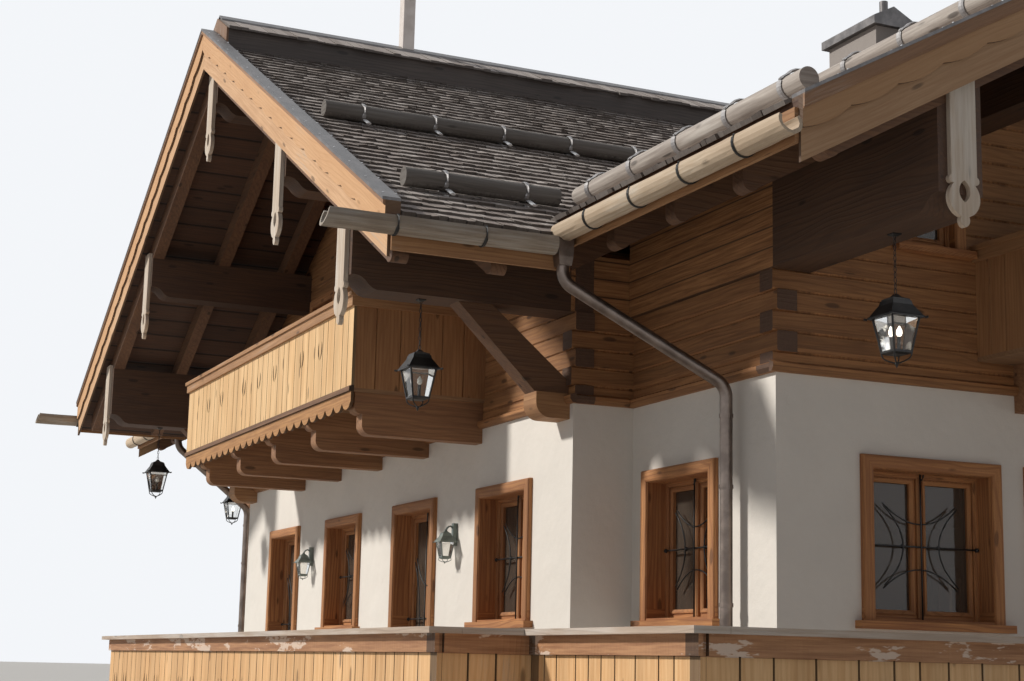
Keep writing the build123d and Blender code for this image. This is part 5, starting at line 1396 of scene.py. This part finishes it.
@dataclass
class Gutters:
    """Gutters hewn from logs, with straps, and the bands of the downpipes."""

    house: House
    radius: float = 0.09
    wall: float = 0.026
    rim: float = 0.05
    axis: float = 4.02
    wing_axis: float = 4.14
    board: float = 0.03
    reach: float = 0.59
    wing_reach: float = 0.12
    step: float = 0.14
    arc_points: int = 13
    slant: float = 0.3
    strap: float = 0.72
    strap_half: float = 0.014
    flatness: float = 0.4
    bands: tuple[float, ...] = (0.35, 1.25, 2.15, 2.7)
    band_radius: float = 0.056
    band_height: float = 0.03
    pipe_from_corner: float = 0.51
    pipe_from_wall: float = 0.125
    box_rows: tuple[tuple[float, float], ...] = ((-0.19, 0.052), (-0.12, 0.062), (0.03, 0.066))

    def runs(self) -> list[tuple[Array, Array, bool]]:
        """Free end, inner end and True for a wing's gutter."""
        h = self.house
        x = h.main_run + self.board + self.radius
        wing_y = h.wing_ridge - h.wing_run - self.board - self.radius
        stop = wing_y - self.radius - 0.002
        start = -h.gable_overhang - self.reach
        inner, outer = h.main_run + self.board + 0.002, h.wing_end + h.gable_overhang + self.wing_reach
        made = []
        mirror = 2 * h.wing_ridge
        for far, near, y in ((start, stop, wing_y), (h.length - start, mirror - stop, mirror - wing_y)):
            made.append((np.array([x, far, self.axis]), np.array([x, near, self.axis]), False))
            made.append((np.array([outer, y, self.wing_axis]), np.array([inner, y, self.wing_axis]), True))
        return made

    def section(self, random: np.random.Generator) -> Array:
        """Hewn ring as (sideways, up) points: the outer arc and the inner arc back."""
        n = self.arc_points
        lift = np.arcsin(self.rim / self.radius)
        outer = np.linspace(np.pi - lift, 2 * np.pi + lift, n)
        bumps = np.r_[random.uniform(-0.004, 0.0, n), random.uniform(-0.003, 0.003, n)]
        radius = np.repeat([self.radius, self.radius - self.wall], n) + bumps
        angle = np.r_[outer, outer[::-1]]
        return np.stack([np.cos(angle) * radius, np.sin(angle) * radius], -1)

    def build(self, grey: bpy.types.Material, pale: bpy.types.Material, iron: bpy.types.Material,
              brown: bpy.types.Material) -> None:
        """Hewn troughs whose free end is cut on a slant like a spoon."""
        random = np.random.default_rng(SEED + 3)
        straps = Piece(self.house, "gutter_straps")
        pieces = {False: Piece(self.house, "main_gutters"), True: Piece(self.house, "wing_gutters")}
        for start, end, wing in self.runs():
            length = float(np.linalg.norm(end - start))
            run = (end - start) / length
            across = np.cross(run, UP)
            count = max(3, int(length / self.step))
            places = np.linspace(0.0, length, count)
            sections = np.stack([self.section(random) for _ in range(count)])
            slant = np.zeros((count, sections.shape[1]))
            slant[0] = np.clip(sections[0, :, 1] + self.radius, 0.0, None) * self.slant
            rows = (start + (places[:, None] + slant)[..., None] * run + sections[..., :1] * across
                    + sections[..., 1:] * UP)
            n = sections.shape[1]
            faces = grid_faces(count, n, closed_columns=True).tolist()
            for first in (0, n * (count - 1)):
                last = first + n - 1
                faces += [[first + i, last - i, last - 1 - i, first + i + 1] for i in range(n // 2 - 1)]
            along = np.broadcast_to(places[:, None], sections.shape[:2])
            grain = np.concatenate([along[..., None], sections], -1)
            for mirrored in BOTH_SIDES:
                pieces[wing].add(rows.reshape(-1, 3), faces, 0.3 + 0.4 * mirrored, grain, mirrored)
            lift = np.arcsin(self.rim / self.radius) * 1.05
            turn = np.linspace(np.pi - lift, 2 * np.pi + lift, 15)
            around = (np.outer(np.cos(turn), across) + np.outer(np.sin(turn), UP)) * (self.radius + 0.003)
            for place in np.arange(self.strap * 0.8, length - 0.1, self.strap):
                strap = tube(start + place * run + around, self.strap_half, 6, self.flatness)
                straps.add_each(BOTH_SIDES, *strap)
        pieces[False].finish(grey, "weathered_wood", replaces=("gutters",))
        pieces[True].finish(pale, "weathered_wood")
        straps.finish(iron, "black_iron")
        self.pipes(brown)

    def pipes(self, material: bpy.types.Material) -> None:
        """Bands that hold the downpipes to the wall, and the box at each head."""
        h = self.house
        piece = Piece(h, "pipe_bands")
        pipe = np.array([h.wing_end - self.pipe_from_corner, h.wing_setback - self.pipe_from_wall, 0.0])
        for z in self.bands:
            path = pipe + np.outer([z, z + self.band_height / 2, z + self.band_height], UP)
            self._four(piece, *tube(path, self.band_radius, 20))
        x = h.main_run + self.board + 0.052
        y = h.wing_ridge - h.wing_run - self.board - self.radius
        low = self.wing_axis - self.radius
        box = np.concatenate([box_points((x - w, y - w, low + z), (x + w, y + w, low + z))[:4]
                              for z, w in self.box_rows])
        faces = grid_faces(3, 4, closed_columns=True).tolist() + [[3, 2, 1, 0], [8, 9, 10, 11]]
        self._four(piece, box, faces)
        piece.finish(material, "brown_metal")

    def _four(self, piece: Piece, points: Array, faces: list) -> None:
        """Adds a part at all four inner corners of the roof."""
        back = points * (1.0, -1.0, 1.0) + 2 * self.house.wing_ridge * NORTH
        for mirrored in BOTH_SIDES:
            piece.add(points, faces, mirrored=mirrored)
            piece.add(back, faces, mirrored=mirrored)


@dataclass
class SnowGuards:
    """Iron hoops round the logs that hold the snow, with their feet."""

    house: House
    radius: float = 0.078
    stand: float = 0.03
    spacing: float = 0.72
    gap: float = 0.15
    start: float = 0.35
    main_runs: tuple[float, float] = (0.72, 2.93)
    wing_runs: tuple[float, float] = (0.33, 1.75)
    wing_ends: tuple[float, float] = (0.37, 0.11)
    bracket: float = 0.04
    clearance: float = 0.009
    hoop_half: float = 0.019
    wing_hoop_half: float = 0.028
    foot_half: float = 0.026
    foot: tuple[tuple[float, float], ...] = ((0.10, 0.03), (0.15, 0.005), (0.22, -0.035))

    def build(self, iron: bpy.types.Material, pale: bpy.types.Material) -> None:
        """Flat hoops: closed over the main roof's logs, and with a curled tip on the wings."""
        h = self.house
        rings, feet = Piece(h, "guard_hoops"), Piece(h, "guard_feet")
        lift = (self.stand + self.radius) * np.hypot(1.0, h.rise)
        outer = self.radius + self.clearance
        over = np.linspace(-0.25 * np.pi, 1.2 * np.pi, 17)
        curled = np.linspace(-0.75 * np.pi, 0.68 * np.pi, 19)
        curl = outer * (1.0 + 0.85 * np.clip(curled / np.pi - 0.42, 0.0, 1.0) / 0.26)
        valley = h.wing_raise / h.rise + self.gap
        for run in self.main_runs:
            x = h.main_run - run
            z = float(h.main_roof(x)) + lift
            ends = ((self.start - h.gable_overhang, h.wing_ridge - h.wing_run + run - valley),
                    (h.wing_ridge + h.wing_run - run + valley, h.length + h.gable_overhang - self.start))
            for low, high in ends:
                for y in self._places(low, high):
                    hoop = np.stack([x + np.cos(over) * outer, np.full_like(over, y),
                                     z + np.sin(over) * outer], -1)
                    self._strap(rings, hoop, self.hoop_half)
                    foot = np.array([(x + out, y, z - lift + up) for out, up in self.foot])
                    self._strap(feet, foot, self.foot_half)
        for run, end in zip(self.wing_runs, self.wing_ends):
            v = h.wing_run - run
            z = float(h.wing_roof(v)) + lift
            for way in (-1, 1):
                y = h.wing_ridge + way * v
                for x in self._places(h.valley_foot - run + self.gap, h.wing_end + h.gable_overhang - end):
                    hoop = np.stack([np.full_like(curled, x), y + way * np.cos(curled) * curl,
                                     z + np.sin(curled) * curl], -1)
                    self._strap(rings, hoop, self.wing_hoop_half)
        rings.finish(iron, "pale_metal")
        feet.finish(pale, "pale_metal")

    @staticmethod
    def _strap(piece: Piece, path: Array, radius: float) -> None:
        """Flat strap along a path, on both sides of the main ridge."""
        piece.add_each(BOTH_SIDES, *tube(path, radius, 6, 0.4))

    def _places(self, low: float, high: float) -> Array:
        """Even places of the brackets along a log."""
        count = int(np.floor((high - low - self.bracket) / self.spacing)) + 1
        first = low + (high - low - self.spacing * (count - 1)) / 2 + self.bracket / 2
        return first + self.spacing * np.arange(count)


@dataclass
class Lanterns:
    """Four-sided lanterns on chains and two on the front wall."""

    house: House
    width: float = 0.225
    base: float = 0.145
    glass: float = 0.235
    roof: float = 0.125
    roof_width: float = 0.28
    chain: float = 0.48
    crown: float = 0.05
    finial: float = 0.07
    bar: float = 0.008
    stud: float = 0.009
    arm: float = 0.0055
    link: tuple[float, float] = (0.010, 0.022)
    link_wire: float = 0.0035
    link_pitch: float = 0.036
    wall_height: float = 0.34
    wall_width: float = 0.19
    wall_foot: float = 1.74
    wall_places: tuple[float, float] = (2.45, -2.11)

    @staticmethod
    def frustum(piece: Piece, centre: Sequence[float], rows: Sequence[tuple[float, float]],
                sides: Iterable[bool] = (False,)) -> None:
        """Square body through (height, width) rows, closed at both ends."""
        corner = np.array([(-1, -1), (1, -1), (1, 1), (-1, 1)]) / 2
        points = np.concatenate([np.c_[np.asarray(centre) + corner * width, np.full(4, z)]
                                 for z, width in rows])
        faces = grid_faces(len(rows), 4, closed_columns=True).tolist()
        faces += [[3, 2, 1, 0], [len(points) - 4 + i for i in range(4)]]
        piece.add_each(sides, points, faces)

    @staticmethod
    def rod(piece: Piece, path: Array, radius: "float | Array", sides: Iterable[bool],
            count: int = 6) -> None:
        """Round rod along a path, with the given count of faces round it."""
        piece.add_each(sides, *tube(path, radius, count))

    def lantern(self, metal: Piece, panes: Piece, x: float, y: float, eaves: float, scale: float,
                sides: Sequence[bool]) -> float:
        """Roof, rim, corner bars, panes and finial of one lantern.

        Args:
            metal: Piece of the metal parts.
            panes: Piece of the glass.
            x: Place across the house.
            y: Place into the depth.
            eaves: Height of the roof's lower edge.
            scale: Size as a share of the hanging lanterns'.
            sides: False for the place itself, True for its mirror image.

        Returns:
            The height of its crown.
        """
        wide, base, tall = self.width * scale, self.base * scale, self.glass * scale
        roof, roof_width = self.roof * scale, self.roof_width * scale
        crown, foot = eaves + roof, eaves - tall
        hood = ((eaves, 1.0), (eaves + 0.012, 1.0), (eaves + 0.02, 0.94),
                (eaves + roof * 0.75, 0.6), (crown, 0.54))
        cap = ((crown, 0.5), (crown + 0.012, 0.5), (crown + 0.03, 0.2), (crown + self.crown, 0.08))
        for rows in (hood, cap):
            self.frustum(metal, (x, y), [(z, roof_width * share) for z, share in rows], sides)
        floor = ((foot - 0.02, 0.7), (foot - 0.008, 1.08), (foot + 0.008, 1.08))
        self.frustum(metal, (x, y), [(z, base * share) for z, share in floor], sides)
        self.frustum(panes, (x, y), [(foot + 0.006, base * 0.93), (eaves - 0.002, wide * 0.93)], sides)
        t = np.linspace(0.0, 1.0, 8)
        reach = base * 0.5 * (1 - t) + 0.02 * np.sin(np.pi * t)
        drop = foot - 0.01 - self.finial * scale * t ** 0.8
        for sx, sy in ((-1, -1), (-1, 1), (1, -1), (1, 1)):
            bar = np.array([(x + sx * base / 2, y + sy * base / 2, foot),
                            (x + sx * wide / 2, y + sy * wide / 2, eaves)])
            stud = np.array([(x + sx * roof_width / 2, y + sy * roof_width / 2, eaves),
                             (x + sx * roof_width * 0.56, y + sy * roof_width * 0.56, eaves + 0.006)])
            self.rod(metal, bar, self.bar * scale, sides)
            self.rod(metal, stud, self.stud * scale, sides)
            self.rod(metal, np.stack([x + sx * reach, y + sy * reach, drop], -1), self.arm * scale, sides)
        knob = np.array([(x, y, foot - share * self.finial * scale) for share in (1.0, 1.2, 11 / 7)])
        self.rod(metal, knob, np.array([0.012, 0.014, 0.002]) * scale, sides)
        return crown + self.crown

    def hang(self, metal: Piece, panes: Piece, inside: Piece, x: float, y: float) -> None:
        """Lantern on each side, on a chain of long links under a purlin, with a bulb on a candle inside."""
        hook = self.house.wall_top
        eaves = hook - self.chain - self.roof
        foot = eaves - self.glass
        candle = np.array([(x, y, foot + up) for up in (0.01, 0.06, 0.11)])
        self.rod(metal, candle, 0.014, BOTH_SIDES, 10)
        bulb = np.array([(x, y, foot + up) for up in (0.11, 0.13, 0.155, 0.185)])
        self.rod(inside, bulb, np.array([0.012, 0.024, 0.022, 0.003]), BOTH_SIDES, 12)
        crown = self.lantern(metal, panes, x, y, eaves, 1.0, BOTH_SIDES)
        count = int((hook - crown) / self.link_pitch)
        turn = np.linspace(0.0, 2 * np.pi, 9)
        wide, tall = self.link
        for i in range(count):
            centre = np.array([x, y, crown + (i + 0.5) * (hook - crown) / count])
            flat = EAST if i % 2 else NORTH
            link = centre + np.outer(np.cos(turn) * wide, flat) + np.outer(np.sin(turn) * tall, UP)
            self.rod(metal, link, self.link_wire, BOTH_SIDES, 4)
        self.frustum(metal, (x, y), [(hook - 0.02, 0.03), (hook - 0.008, 0.07), (hook, 0.07)], BOTH_SIDES)

    def build(self, iron: bpy.types.Material, glass: bpy.types.Material, bulb: bpy.types.Material,
              lit: bpy.types.Material, green: bpy.types.Material) -> None:
        """All lanterns; together they stand for the CAD node."""
        h = self.house
        metal, panes = Piece(h, "lantern_frames"), Piece(h, "lantern_panes")
        bulbs, lit_bulbs = Piece(h, "lantern_bulbs"), Piece(h, "lit_lantern_bulbs")
        self.hang(metal, panes, bulbs, h.main_half - 0.2, -1.35)
        self.hang(metal, panes, lit_bulbs, h.wing_end + 1.31, h.wing_setback + 0.14)
        wall = Piece(h, "wall_lantern_frames")
        y = -self.wall_width * 0.4 - 0.04
        eaves = self.wall_foot + self.wall_height * 0.6
        t = np.linspace(0.0, 1.0, 9)
        for x in self.wall_places:
            self.lantern(wall, panes, x, y, eaves, 0.6, (False,))
            scroll = np.stack([np.full_like(t, x), y * (1 - t) - 0.012,
                               eaves + 0.1 + 0.06 * np.sin(np.pi * t)], -1)
            self.rod(wall, scroll, 0.009, (False,))
            self.frustum(wall, (x, -0.02), [(eaves - 0.03, 0.05), (eaves + 0.19, 0.05)])
        metal.finish(iron, "black_iron", replaces=("lanterns",))
        panes.finish(glass, "window_glass")
        bulbs.finish(bulb, "window_glass")
        lit_bulbs.finish(lit, "window_glass")
        wall.finish(green, "black_iron")


@dataclass
class VergeTrim:
    """Strips and nails over the barge boards, and the leaves cut between their scallops."""

    house: House
    proud: float = 0.02
    main_strip: float = 0.045
    wing_strip: float = 0.10
    depth: float = 0.22
    pitch: float = 0.37
    leaf: tuple[tuple[float, float], ...] = (
        (0.0, -0.035), (0.016, 0.0), (0.034, 0.035), (0.034, 0.07),
        (0.0, 0.12), (-0.034, 0.07), (-0.034, 0.035), (-0.016, 0.0))
    leaf_cut: tuple[float, float] = (0.01, 0.056)
    nail: float = 0.42
    nail_size: tuple[float, float, float] = (0.007, 0.007, 0.004)
    nail_rows: tuple[float, float] = (-0.018, -0.126)

    def verges(self) -> list[tuple[WallFace, float, float, float]]:
        """Wall face, run, height of the barge boards' top at the eaves and depth of the strip."""
        h = self.house
        main, wing = h.eaves_top + h.main_verge_rise, h.eaves_top + h.wing_raise + h.wing_verge_rise
        front_face, back_face, wing_face = h.gable_faces()
        return [(front_face, h.main_run, main, self.main_strip),
                (back_face, h.main_run, main, self.main_strip),
                (wing_face, h.wing_run, wing, self.wing_strip)]

    def build(self, wood: bpy.types.Material, metal: bpy.types.Material, board: bpy.types.Material,
              boarding: "Boarding") -> None:
        """A strip on every verge, nail heads on the metal above it, and the cut leaves."""
        h = self.house
        strips, nails = Piece(h, "verge_strips"), Piece(h, "verge_nails")
        out = h.gable_overhang + h.barge_thickness
        leaves = []
        size = np.array(self.nail_size)
        for face, run, top, deep in self.verges():
            section = np.array([(0.0, 0.0), (0.0, self.proud), (-deep * 0.8, self.proud),
                                (-deep, self.proud * 0.4), (-deep, 0.0)])
            n = len(section)
            grain = np.c_[np.repeat([0.0, run], n), np.tile(section, (2, 1))]
            count = round(run / self.pitch)
            places = run * np.arange(1, count) / count
            for side in (-1, 1):
                rows = [face.at(side * u, top + h.rise * (run - u) + section[:, 0], out + section[:, 1])
                        for u in (0.0, run)]
                leaves += [(face, side * u, top + h.rise * (run - u) - self.depth, out) for u in places]
                for mirrored in face.sides:
                    strips.add(np.concatenate(rows), prism_faces(n), 0.5 + 0.2 * side, grain, mirrored)
                    for u in np.arange(0.2, run, self.nail):
                        for off in self.nail_rows:
                            spot = face.at(side * u, top + h.rise * (run - u) + 0.025, out + off)
                            nails.add(box_points(spot - size, spot + size), BOX_FACES, mirrored=mirrored)
        strips.finish(wood, "larch")
        nails.finish(metal, "pale_metal")
        cutter = boarding.sunk(leaves, np.array(self.leaf), *self.leaf_cut)
        boarding.cut("barge_boards", "barge_boards_cut", (cutter,), board)


@dataclass
class Stage:
    """Pale floor, even light and the camera at the photograph's place."""

    house: House
    eye: tuple[float, float, float] = (18.37, -6.54, 0.77)
    yaw: float = 23.990
    pitch: float = 10.527
    roll: float = 1.313
    lens: float = 61.68
    sensor: float = 36.0
    clip: float = 500.0
    sun: float = 3.2
    sun_angle: float = 5.0
    sun_colour: tuple[float, float, float] = (1.0, 0.95, 0.88)
    sun_from: tuple[float, float, float] = (-0.34, -0.76, 0.55)
    sky: float = 0.18
    floor_half: float = 200.0

    def camera(self) -> None:
        """Camera whose axes come from the three angles."""
        yaw, pitch, roll = np.radians([self.yaw, self.pitch, self.roll])
        ahead = np.array([-np.cos(yaw) * np.cos(pitch), np.sin(yaw) * np.cos(pitch), np.sin(pitch)])
        right = np.cross(ahead, UP)
        right /= np.linalg.norm(right)
        up = np.cross(right, ahead)
        level, tilted = right * np.cos(roll) + up * np.sin(roll), -right * np.sin(roll) + up * np.cos(roll)
        data = bpy.data.cameras.new("view")
        data.lens, data.sensor_width, data.clip_end = self.lens, self.sensor, self.clip
        made = bpy.data.objects.new("view", data)
        turn = Matrix((level, tilted, -ahead)).transposed().to_4x4()
        made.matrix_world = Matrix.Translation(Vector(self.house.shift(self.eye))) @ turn
        bpy.context.scene.collection.objects.link(made)
        bpy.context.scene.camera = made

    def light(self) -> None:
        """Soft sun from the front left, and a sky that cameras, metal and glass see as a pale backdrop."""
        lamp = bpy.data.lights.new("key", "SUN")
        lamp.energy, lamp.angle, lamp.color = self.sun, np.radians(self.sun_angle), self.sun_colour
        made = bpy.data.objects.new("key", lamp)
        made.rotation_euler = Vector(self.sun_from).to_track_quat("Z", "Y").to_euler()
        bpy.context.scene.collection.objects.link(made)
        world = bpy.data.worlds.new("sky")
        bpy.context.scene.world = world
        world.use_nodes = True
        tree = world.node_tree
        tree.nodes.clear()
        seen = tree.nodes.new("ShaderNodeLightPath")
        any_seen = seen.outputs["Is Camera Ray"]
        for ray in ("Is Glossy Ray", "Is Transmission Ray"):
            either = tree.nodes.new("ShaderNodeMath")
            either.operation = "MAXIMUM"
            tree.links.new(any_seen, either.inputs[0])
            tree.links.new(seen.outputs[ray], either.inputs[1])
            any_seen = either.outputs[0]
        shaders = []
        for colour, strength in (((0.86, 0.90, 1.0), self.sky), ((0.90, 0.92, 0.95), 1.0)):
            shader = tree.nodes.new("ShaderNodeBackground")
            shader.inputs["Color"].default_value = (*colour, 1.0)
            shader.inputs["Strength"].default_value = strength
            shaders.append(shader)
        blend = tree.nodes.new("ShaderNodeMixShader")
        end = tree.nodes.new("ShaderNodeOutputWorld")
        tree.links.new(any_seen, blend.inputs[0])
        for number, shader in enumerate(shaders, 1):
            tree.links.new(shader.outputs[0], blend.inputs[number])
        tree.links.new(blend.outputs[0], end.inputs["Surface"])

    def floor(self) -> None:
        """Wide pale floor."""
        g = Graph("floor")
        spot = g.spot()
        colour = g.mix(g.noise(spot, 0.4, 2.0) * 0.3, (0.62, 0.61, 0.59), (0.57, 0.56, 0.54))
        material = g.surface(Base_Color=colour, Roughness=0.9)
        mesh = bpy.data.meshes.new("floor")
        half = self.floor_half
        mesh.from_pydata([(-half, -half, 0.0), (half, -half, 0.0), (half, half, 0.0), (-half, half, 0.0)], [],
                         [(0, 1, 2, 3)])
        mesh.materials.append(material)
        made = bpy.data.objects.new("floor", mesh)
        bpy.context.scene.collection.objects.link(made)

    def build(self) -> None:
        """Camera, light and floor."""
        self.camera()
        self.light()
        self.floor()
        bpy.context.scene.view_settings.view_transform = "Standard"


@dataclass
class Finishes:
    """Every material, made once."""

    house: House
    made: dict[str, bpy.types.Material] = field(default_factory=dict)

    def __post_init__(self) -> None:
        """Builds all finishes."""
        h = self.house
        kinds = [
            LogFinish("logs_x", *LOG_TONES, Grain.WALL, h.log_course, joint=0.0),
            LogFinish("logs_y", *LOG_TONES, Grain.WALL, h.log_course, joint=0.0,
                      across_ends=True),
            BoardFinish("front_boards", (0.86, 0.61, 0.34), (0.62, 0.37, 0.165), Grain.UPRIGHT, contrast=0.8,
                        bands=((3.0, 3.253), (3.253, 3.31)),
                        trims=(((0.50, 0.26, 0.10), (0.30, 0.14, 0.05)),
                                ((0.22, 0.115, 0.06), (0.12, 0.06, 0.03))),
                        flanks=((h.wing_end, 99.0),), house=h),
            WoodFinish("end_boards", (0.44, 0.235, 0.105), (0.26, 0.12, 0.05), Grain.UPRIGHT, contrast=1.2),
            BoardFinish("honey_boards", (0.80, 0.53, 0.28), (0.56, 0.31, 0.13), Grain.UPRIGHT, weather=0.12,
                        bands=((0.835, 0.95),),
                         trims=(((0.47, 0.25, 0.125), (0.27, 0.125, 0.058)),), flakes=0.75,
                        flanks=((9.05, 9.25), (10.95, 11.2)), house=h),
            WoodFinish("rail_wood", (0.48, 0.27, 0.13), (0.27, 0.135, 0.06), Grain.WALL, weather=0.12),
            VergeFinish("verge_wood", (0.74, 0.48, 0.28), (0.50, 0.28, 0.14), Grain.VERGE,
                        weather=0.1, house=h),
            WoodFinish("beams_y", (0.38, 0.20, 0.095), (0.19, 0.09, 0.045), Grain.ALONG_Y),
            # Purlins, rafters, braces and soffits take tones of painted shade for the deep shade under the eaves.
            PurlinFinish("purlins_x", *PURLIN_SHADE_TONES, Grain.ALONG_X, house=h),
            PurlinFinish("purlins_y", *PURLIN_SHADE_TONES, Grain.ALONG_Y, house=h),
            WoodFinish("eaves_painted_shade_x", *RAFTER_AND_BRACE_SHADE_TONES, Grain.ALONG_X),
            WoodFinish("eaves_painted_shade_y", *RAFTER_AND_BRACE_SHADE_TONES, Grain.ALONG_Y),
            WoodFinish("soffit_y", *SOFFIT_SHADE_TONES, Grain.ALONG_Y, 0.15, joint=0.005),
            WoodFinish("soffit_x", *SOFFIT_SHADE_TONES, Grain.ALONG_X, 0.15, joint=0.005),
            WoodFinish("eaves_wood", (0.44, 0.24, 0.11), (0.24, 0.115, 0.05), Grain.WALL, weather=0.1),
            WoodFinish("pale_boards", (0.66, 0.57, 0.47), (0.46, 0.36, 0.27), Grain.UPRIGHT, weather=0.4,
                       grey=(0.62, 0.57, 0.51)),
            WoodFinish("casings", (0.56, 0.265, 0.10), (0.26, 0.10, 0.038), Grain.CASING,
                       contrast=2.0, house=h),
            WoodFinish("moulded", (0.54, 0.26, 0.10), (0.26, 0.105, 0.042), Grain.PIECE, contrast=1.8),
            WoodFinish("verge_strip", (0.36, 0.20, 0.11), (0.20, 0.105, 0.055), Grain.PIECE, weather=0.2),
            WoodFinish("ridge_ends", (0.36, 0.21, 0.13), (0.20, 0.115, 0.07), Grain.PIECE, weather=0.2),
            WoodFinish("grey_gutter", (0.46, 0.38, 0.29), (0.23, 0.18, 0.135), Grain.PIECE, weather=0.45,
                       grey=(0.36, 0.34, 0.31), contrast=1.5),
            WoodFinish("pale_gutter", (0.66, 0.54, 0.40), (0.47, 0.35, 0.24), Grain.PIECE, weather=0.2,
                       grey=(0.52, 0.49, 0.44)),
            GuardFinish("guard_logs", (0.44, 0.40, 0.36), (0.20, 0.17, 0.15), Grain.WALL, weather=0.3,
                        grey=(0.42, 0.40, 0.37), house=h),
            WoodFinish("floor_boards", (0.45, 0.27, 0.14), (0.27, 0.15, 0.08), Grain.ALONG_Y, 0.18),
            WoodFinish("cap_planks", (0.56, 0.46, 0.37), (0.34, 0.26, 0.20), Grain.WALL, weather=0.45,
                       grey=(0.50, 0.46, 0.42)),
            # Nearly black sides of the ridge caps: painted shade under the overhanging shingle ends.
            WoodFinish("ridge_sides_painted_shade", (0.12, 0.10, 0.09), (0.05, 0.042, 0.04), Grain.WALL),
            PlasterFinish(),
            # The chimney's dark grey-brown is painted shade; the same finish covers the ground floor.
            PlasterFinish("chimney_plaster_painted_shade", (0.33, 0.30, 0.28), (0.22, 0.2, 0.185)),
            ShingleFinish(),
            MetalFinish("dark_metal", (0.11, 0.105, 0.105), (0.19, 0.18, 0.18)),
            MetalFinish("brown_metal", (0.17, 0.135, 0.115), (0.27, 0.22, 0.19), 0.9, 0.33),
            MetalFinish("flue_metal", (0.68, 0.62, 0.58), (0.58, 0.52, 0.48), 0.25, 0.5),
            MetalFinish("pale_metal", (0.42, 0.42, 0.43), (0.55, 0.55, 0.56), 0.8, 0.38),
            MetalFinish("grey_iron", (0.30, 0.29, 0.29), (0.42, 0.41, 0.41), 0.6, 0.5),
            MetalFinish("black_iron", (0.025, 0.025, 0.026), (0.05, 0.048, 0.046), 0.6, 0.4),
            MetalFinish("green_iron", (0.14, 0.17, 0.155), (0.24, 0.27, 0.25), 0.5, 0.45),
            # Brown window panes: painted reflection of warm wood in the glass.
            GlassFinish("window_glass", (0.26, 0.21, 0.17), 0.75),
            GlassFinish("lantern_glass", (0.92, 0.92, 0.90), 0.95),
            GlassFinish("candle", (0.92, 0.90, 0.84), 0.0),
            GlassFinish("lit_bulb", (1.0, 0.95, 0.85), 0.0, 3.0),
        ]
        for kind in kinds:
            self.made[kind.name] = kind.make()

    def dress(self) -> None:
        """Gives every CAD node its finish."""
        table = {
            "plaster": ("gable_masonry_walls", "wing_gable_masonry_walls", "wing_flank_masonry_walls",
                        "main_side_masonry_walls"),
            "chimney_plaster_painted_shade": ("chimney", "ground_floor"),
            "floor_boards": ("upper_floor", "balcony_floors"),
            "logs_x": ("main_log_gables", "wing_flank_log_walls"),
            "logs_y": ("wing_log_gables", "main_side_log_walls"),
            "soffit_y": ("main_left_roof_slope", "main_right_roof_slope"),
            "soffit_x": ("wing_front_roof_slopes", "wing_back_roof_slopes"),
            "ridge_sides_painted_shade": ("ridge_caps",),
            "eaves_wood": ("eaves_boards", "brace_corbels"),
            "purlins_y": ("main_purlins",),
            "purlins_x": ("wing_purlins",),
            "eaves_painted_shade_y": ("wing_rafters", "eaves_braces"),
            "eaves_painted_shade_x": ("main_rafters",),
            "verge_wood": ("barge_boards",),
            "dark_metal": ("verge_flashings", "chimney_cap"),
            "pale_boards": ("drop_boards",),
            "rail_wood": ("balcony_rails",),
            "beams_y": ("balcony_beams",),
            "front_boards": ("balcony_fronts",),
            "end_boards": ("balcony_ends",),
            "casings": ("ground_window_casings", "ground_window_leaves", "upper_window_casings",
                        "upper_window_leaves"),
            "window_glass": ("ground_window_glass", "upper_window_glass"),
            "pale_gutter": ("gutters",),
            "brown_metal": ("downpipes",),
            "guard_logs": ("snow_guard_logs",),
            "grey_iron": ("snow_guard_brackets",),
            "flue_metal": ("ridge_flue",),
            "black_iron": ("lanterns",),
            "honey_boards": ("terrace_panels", "terrace_posts"),
            "cap_planks": ("terrace_caps",),
        }
        for name, nodes in table.items():
            for node in nodes:
                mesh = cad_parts[node].data
                mesh.materials.clear()
                mesh.materials.append(self.made[name])


def main() -> None:
    """Builds and dresses the chalet."""
    logging.basicConfig(level=logging.INFO, format="%(name)s: %(message)s")
    house = House()
    finishes = Finishes(house)
    m = finishes.made
    finishes.dress()
    Shingles(house).build(m["shingles"])
    RidgeCaps(house).build(m["shingles"], m["dark_metal"], m["ridge_ends"])
    boarding = Boarding(house)
    VergeTrim(house).build(m["verge_strip"], m["pale_metal"], m["verge_wood"], boarding)
    Windows(house).build(m["moulded"], m["black_iron"])
    boarding.build(Balconies(house), Terrace(house), m["front_boards"], m["end_boards"], m["honey_boards"])
    Gutters(house).build(m["grey_gutter"], m["pale_gutter"], m["black_iron"], m["brown_metal"])
    SnowGuards(house).build(m["grey_iron"], m["pale_metal"])
    Lanterns(house).build(m["black_iron"], m["lantern_glass"], m["candle"], m["lit_bulb"], m["green_iron"])
    Stage(house).build()
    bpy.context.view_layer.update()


if __name__ == "__main__":
    main()
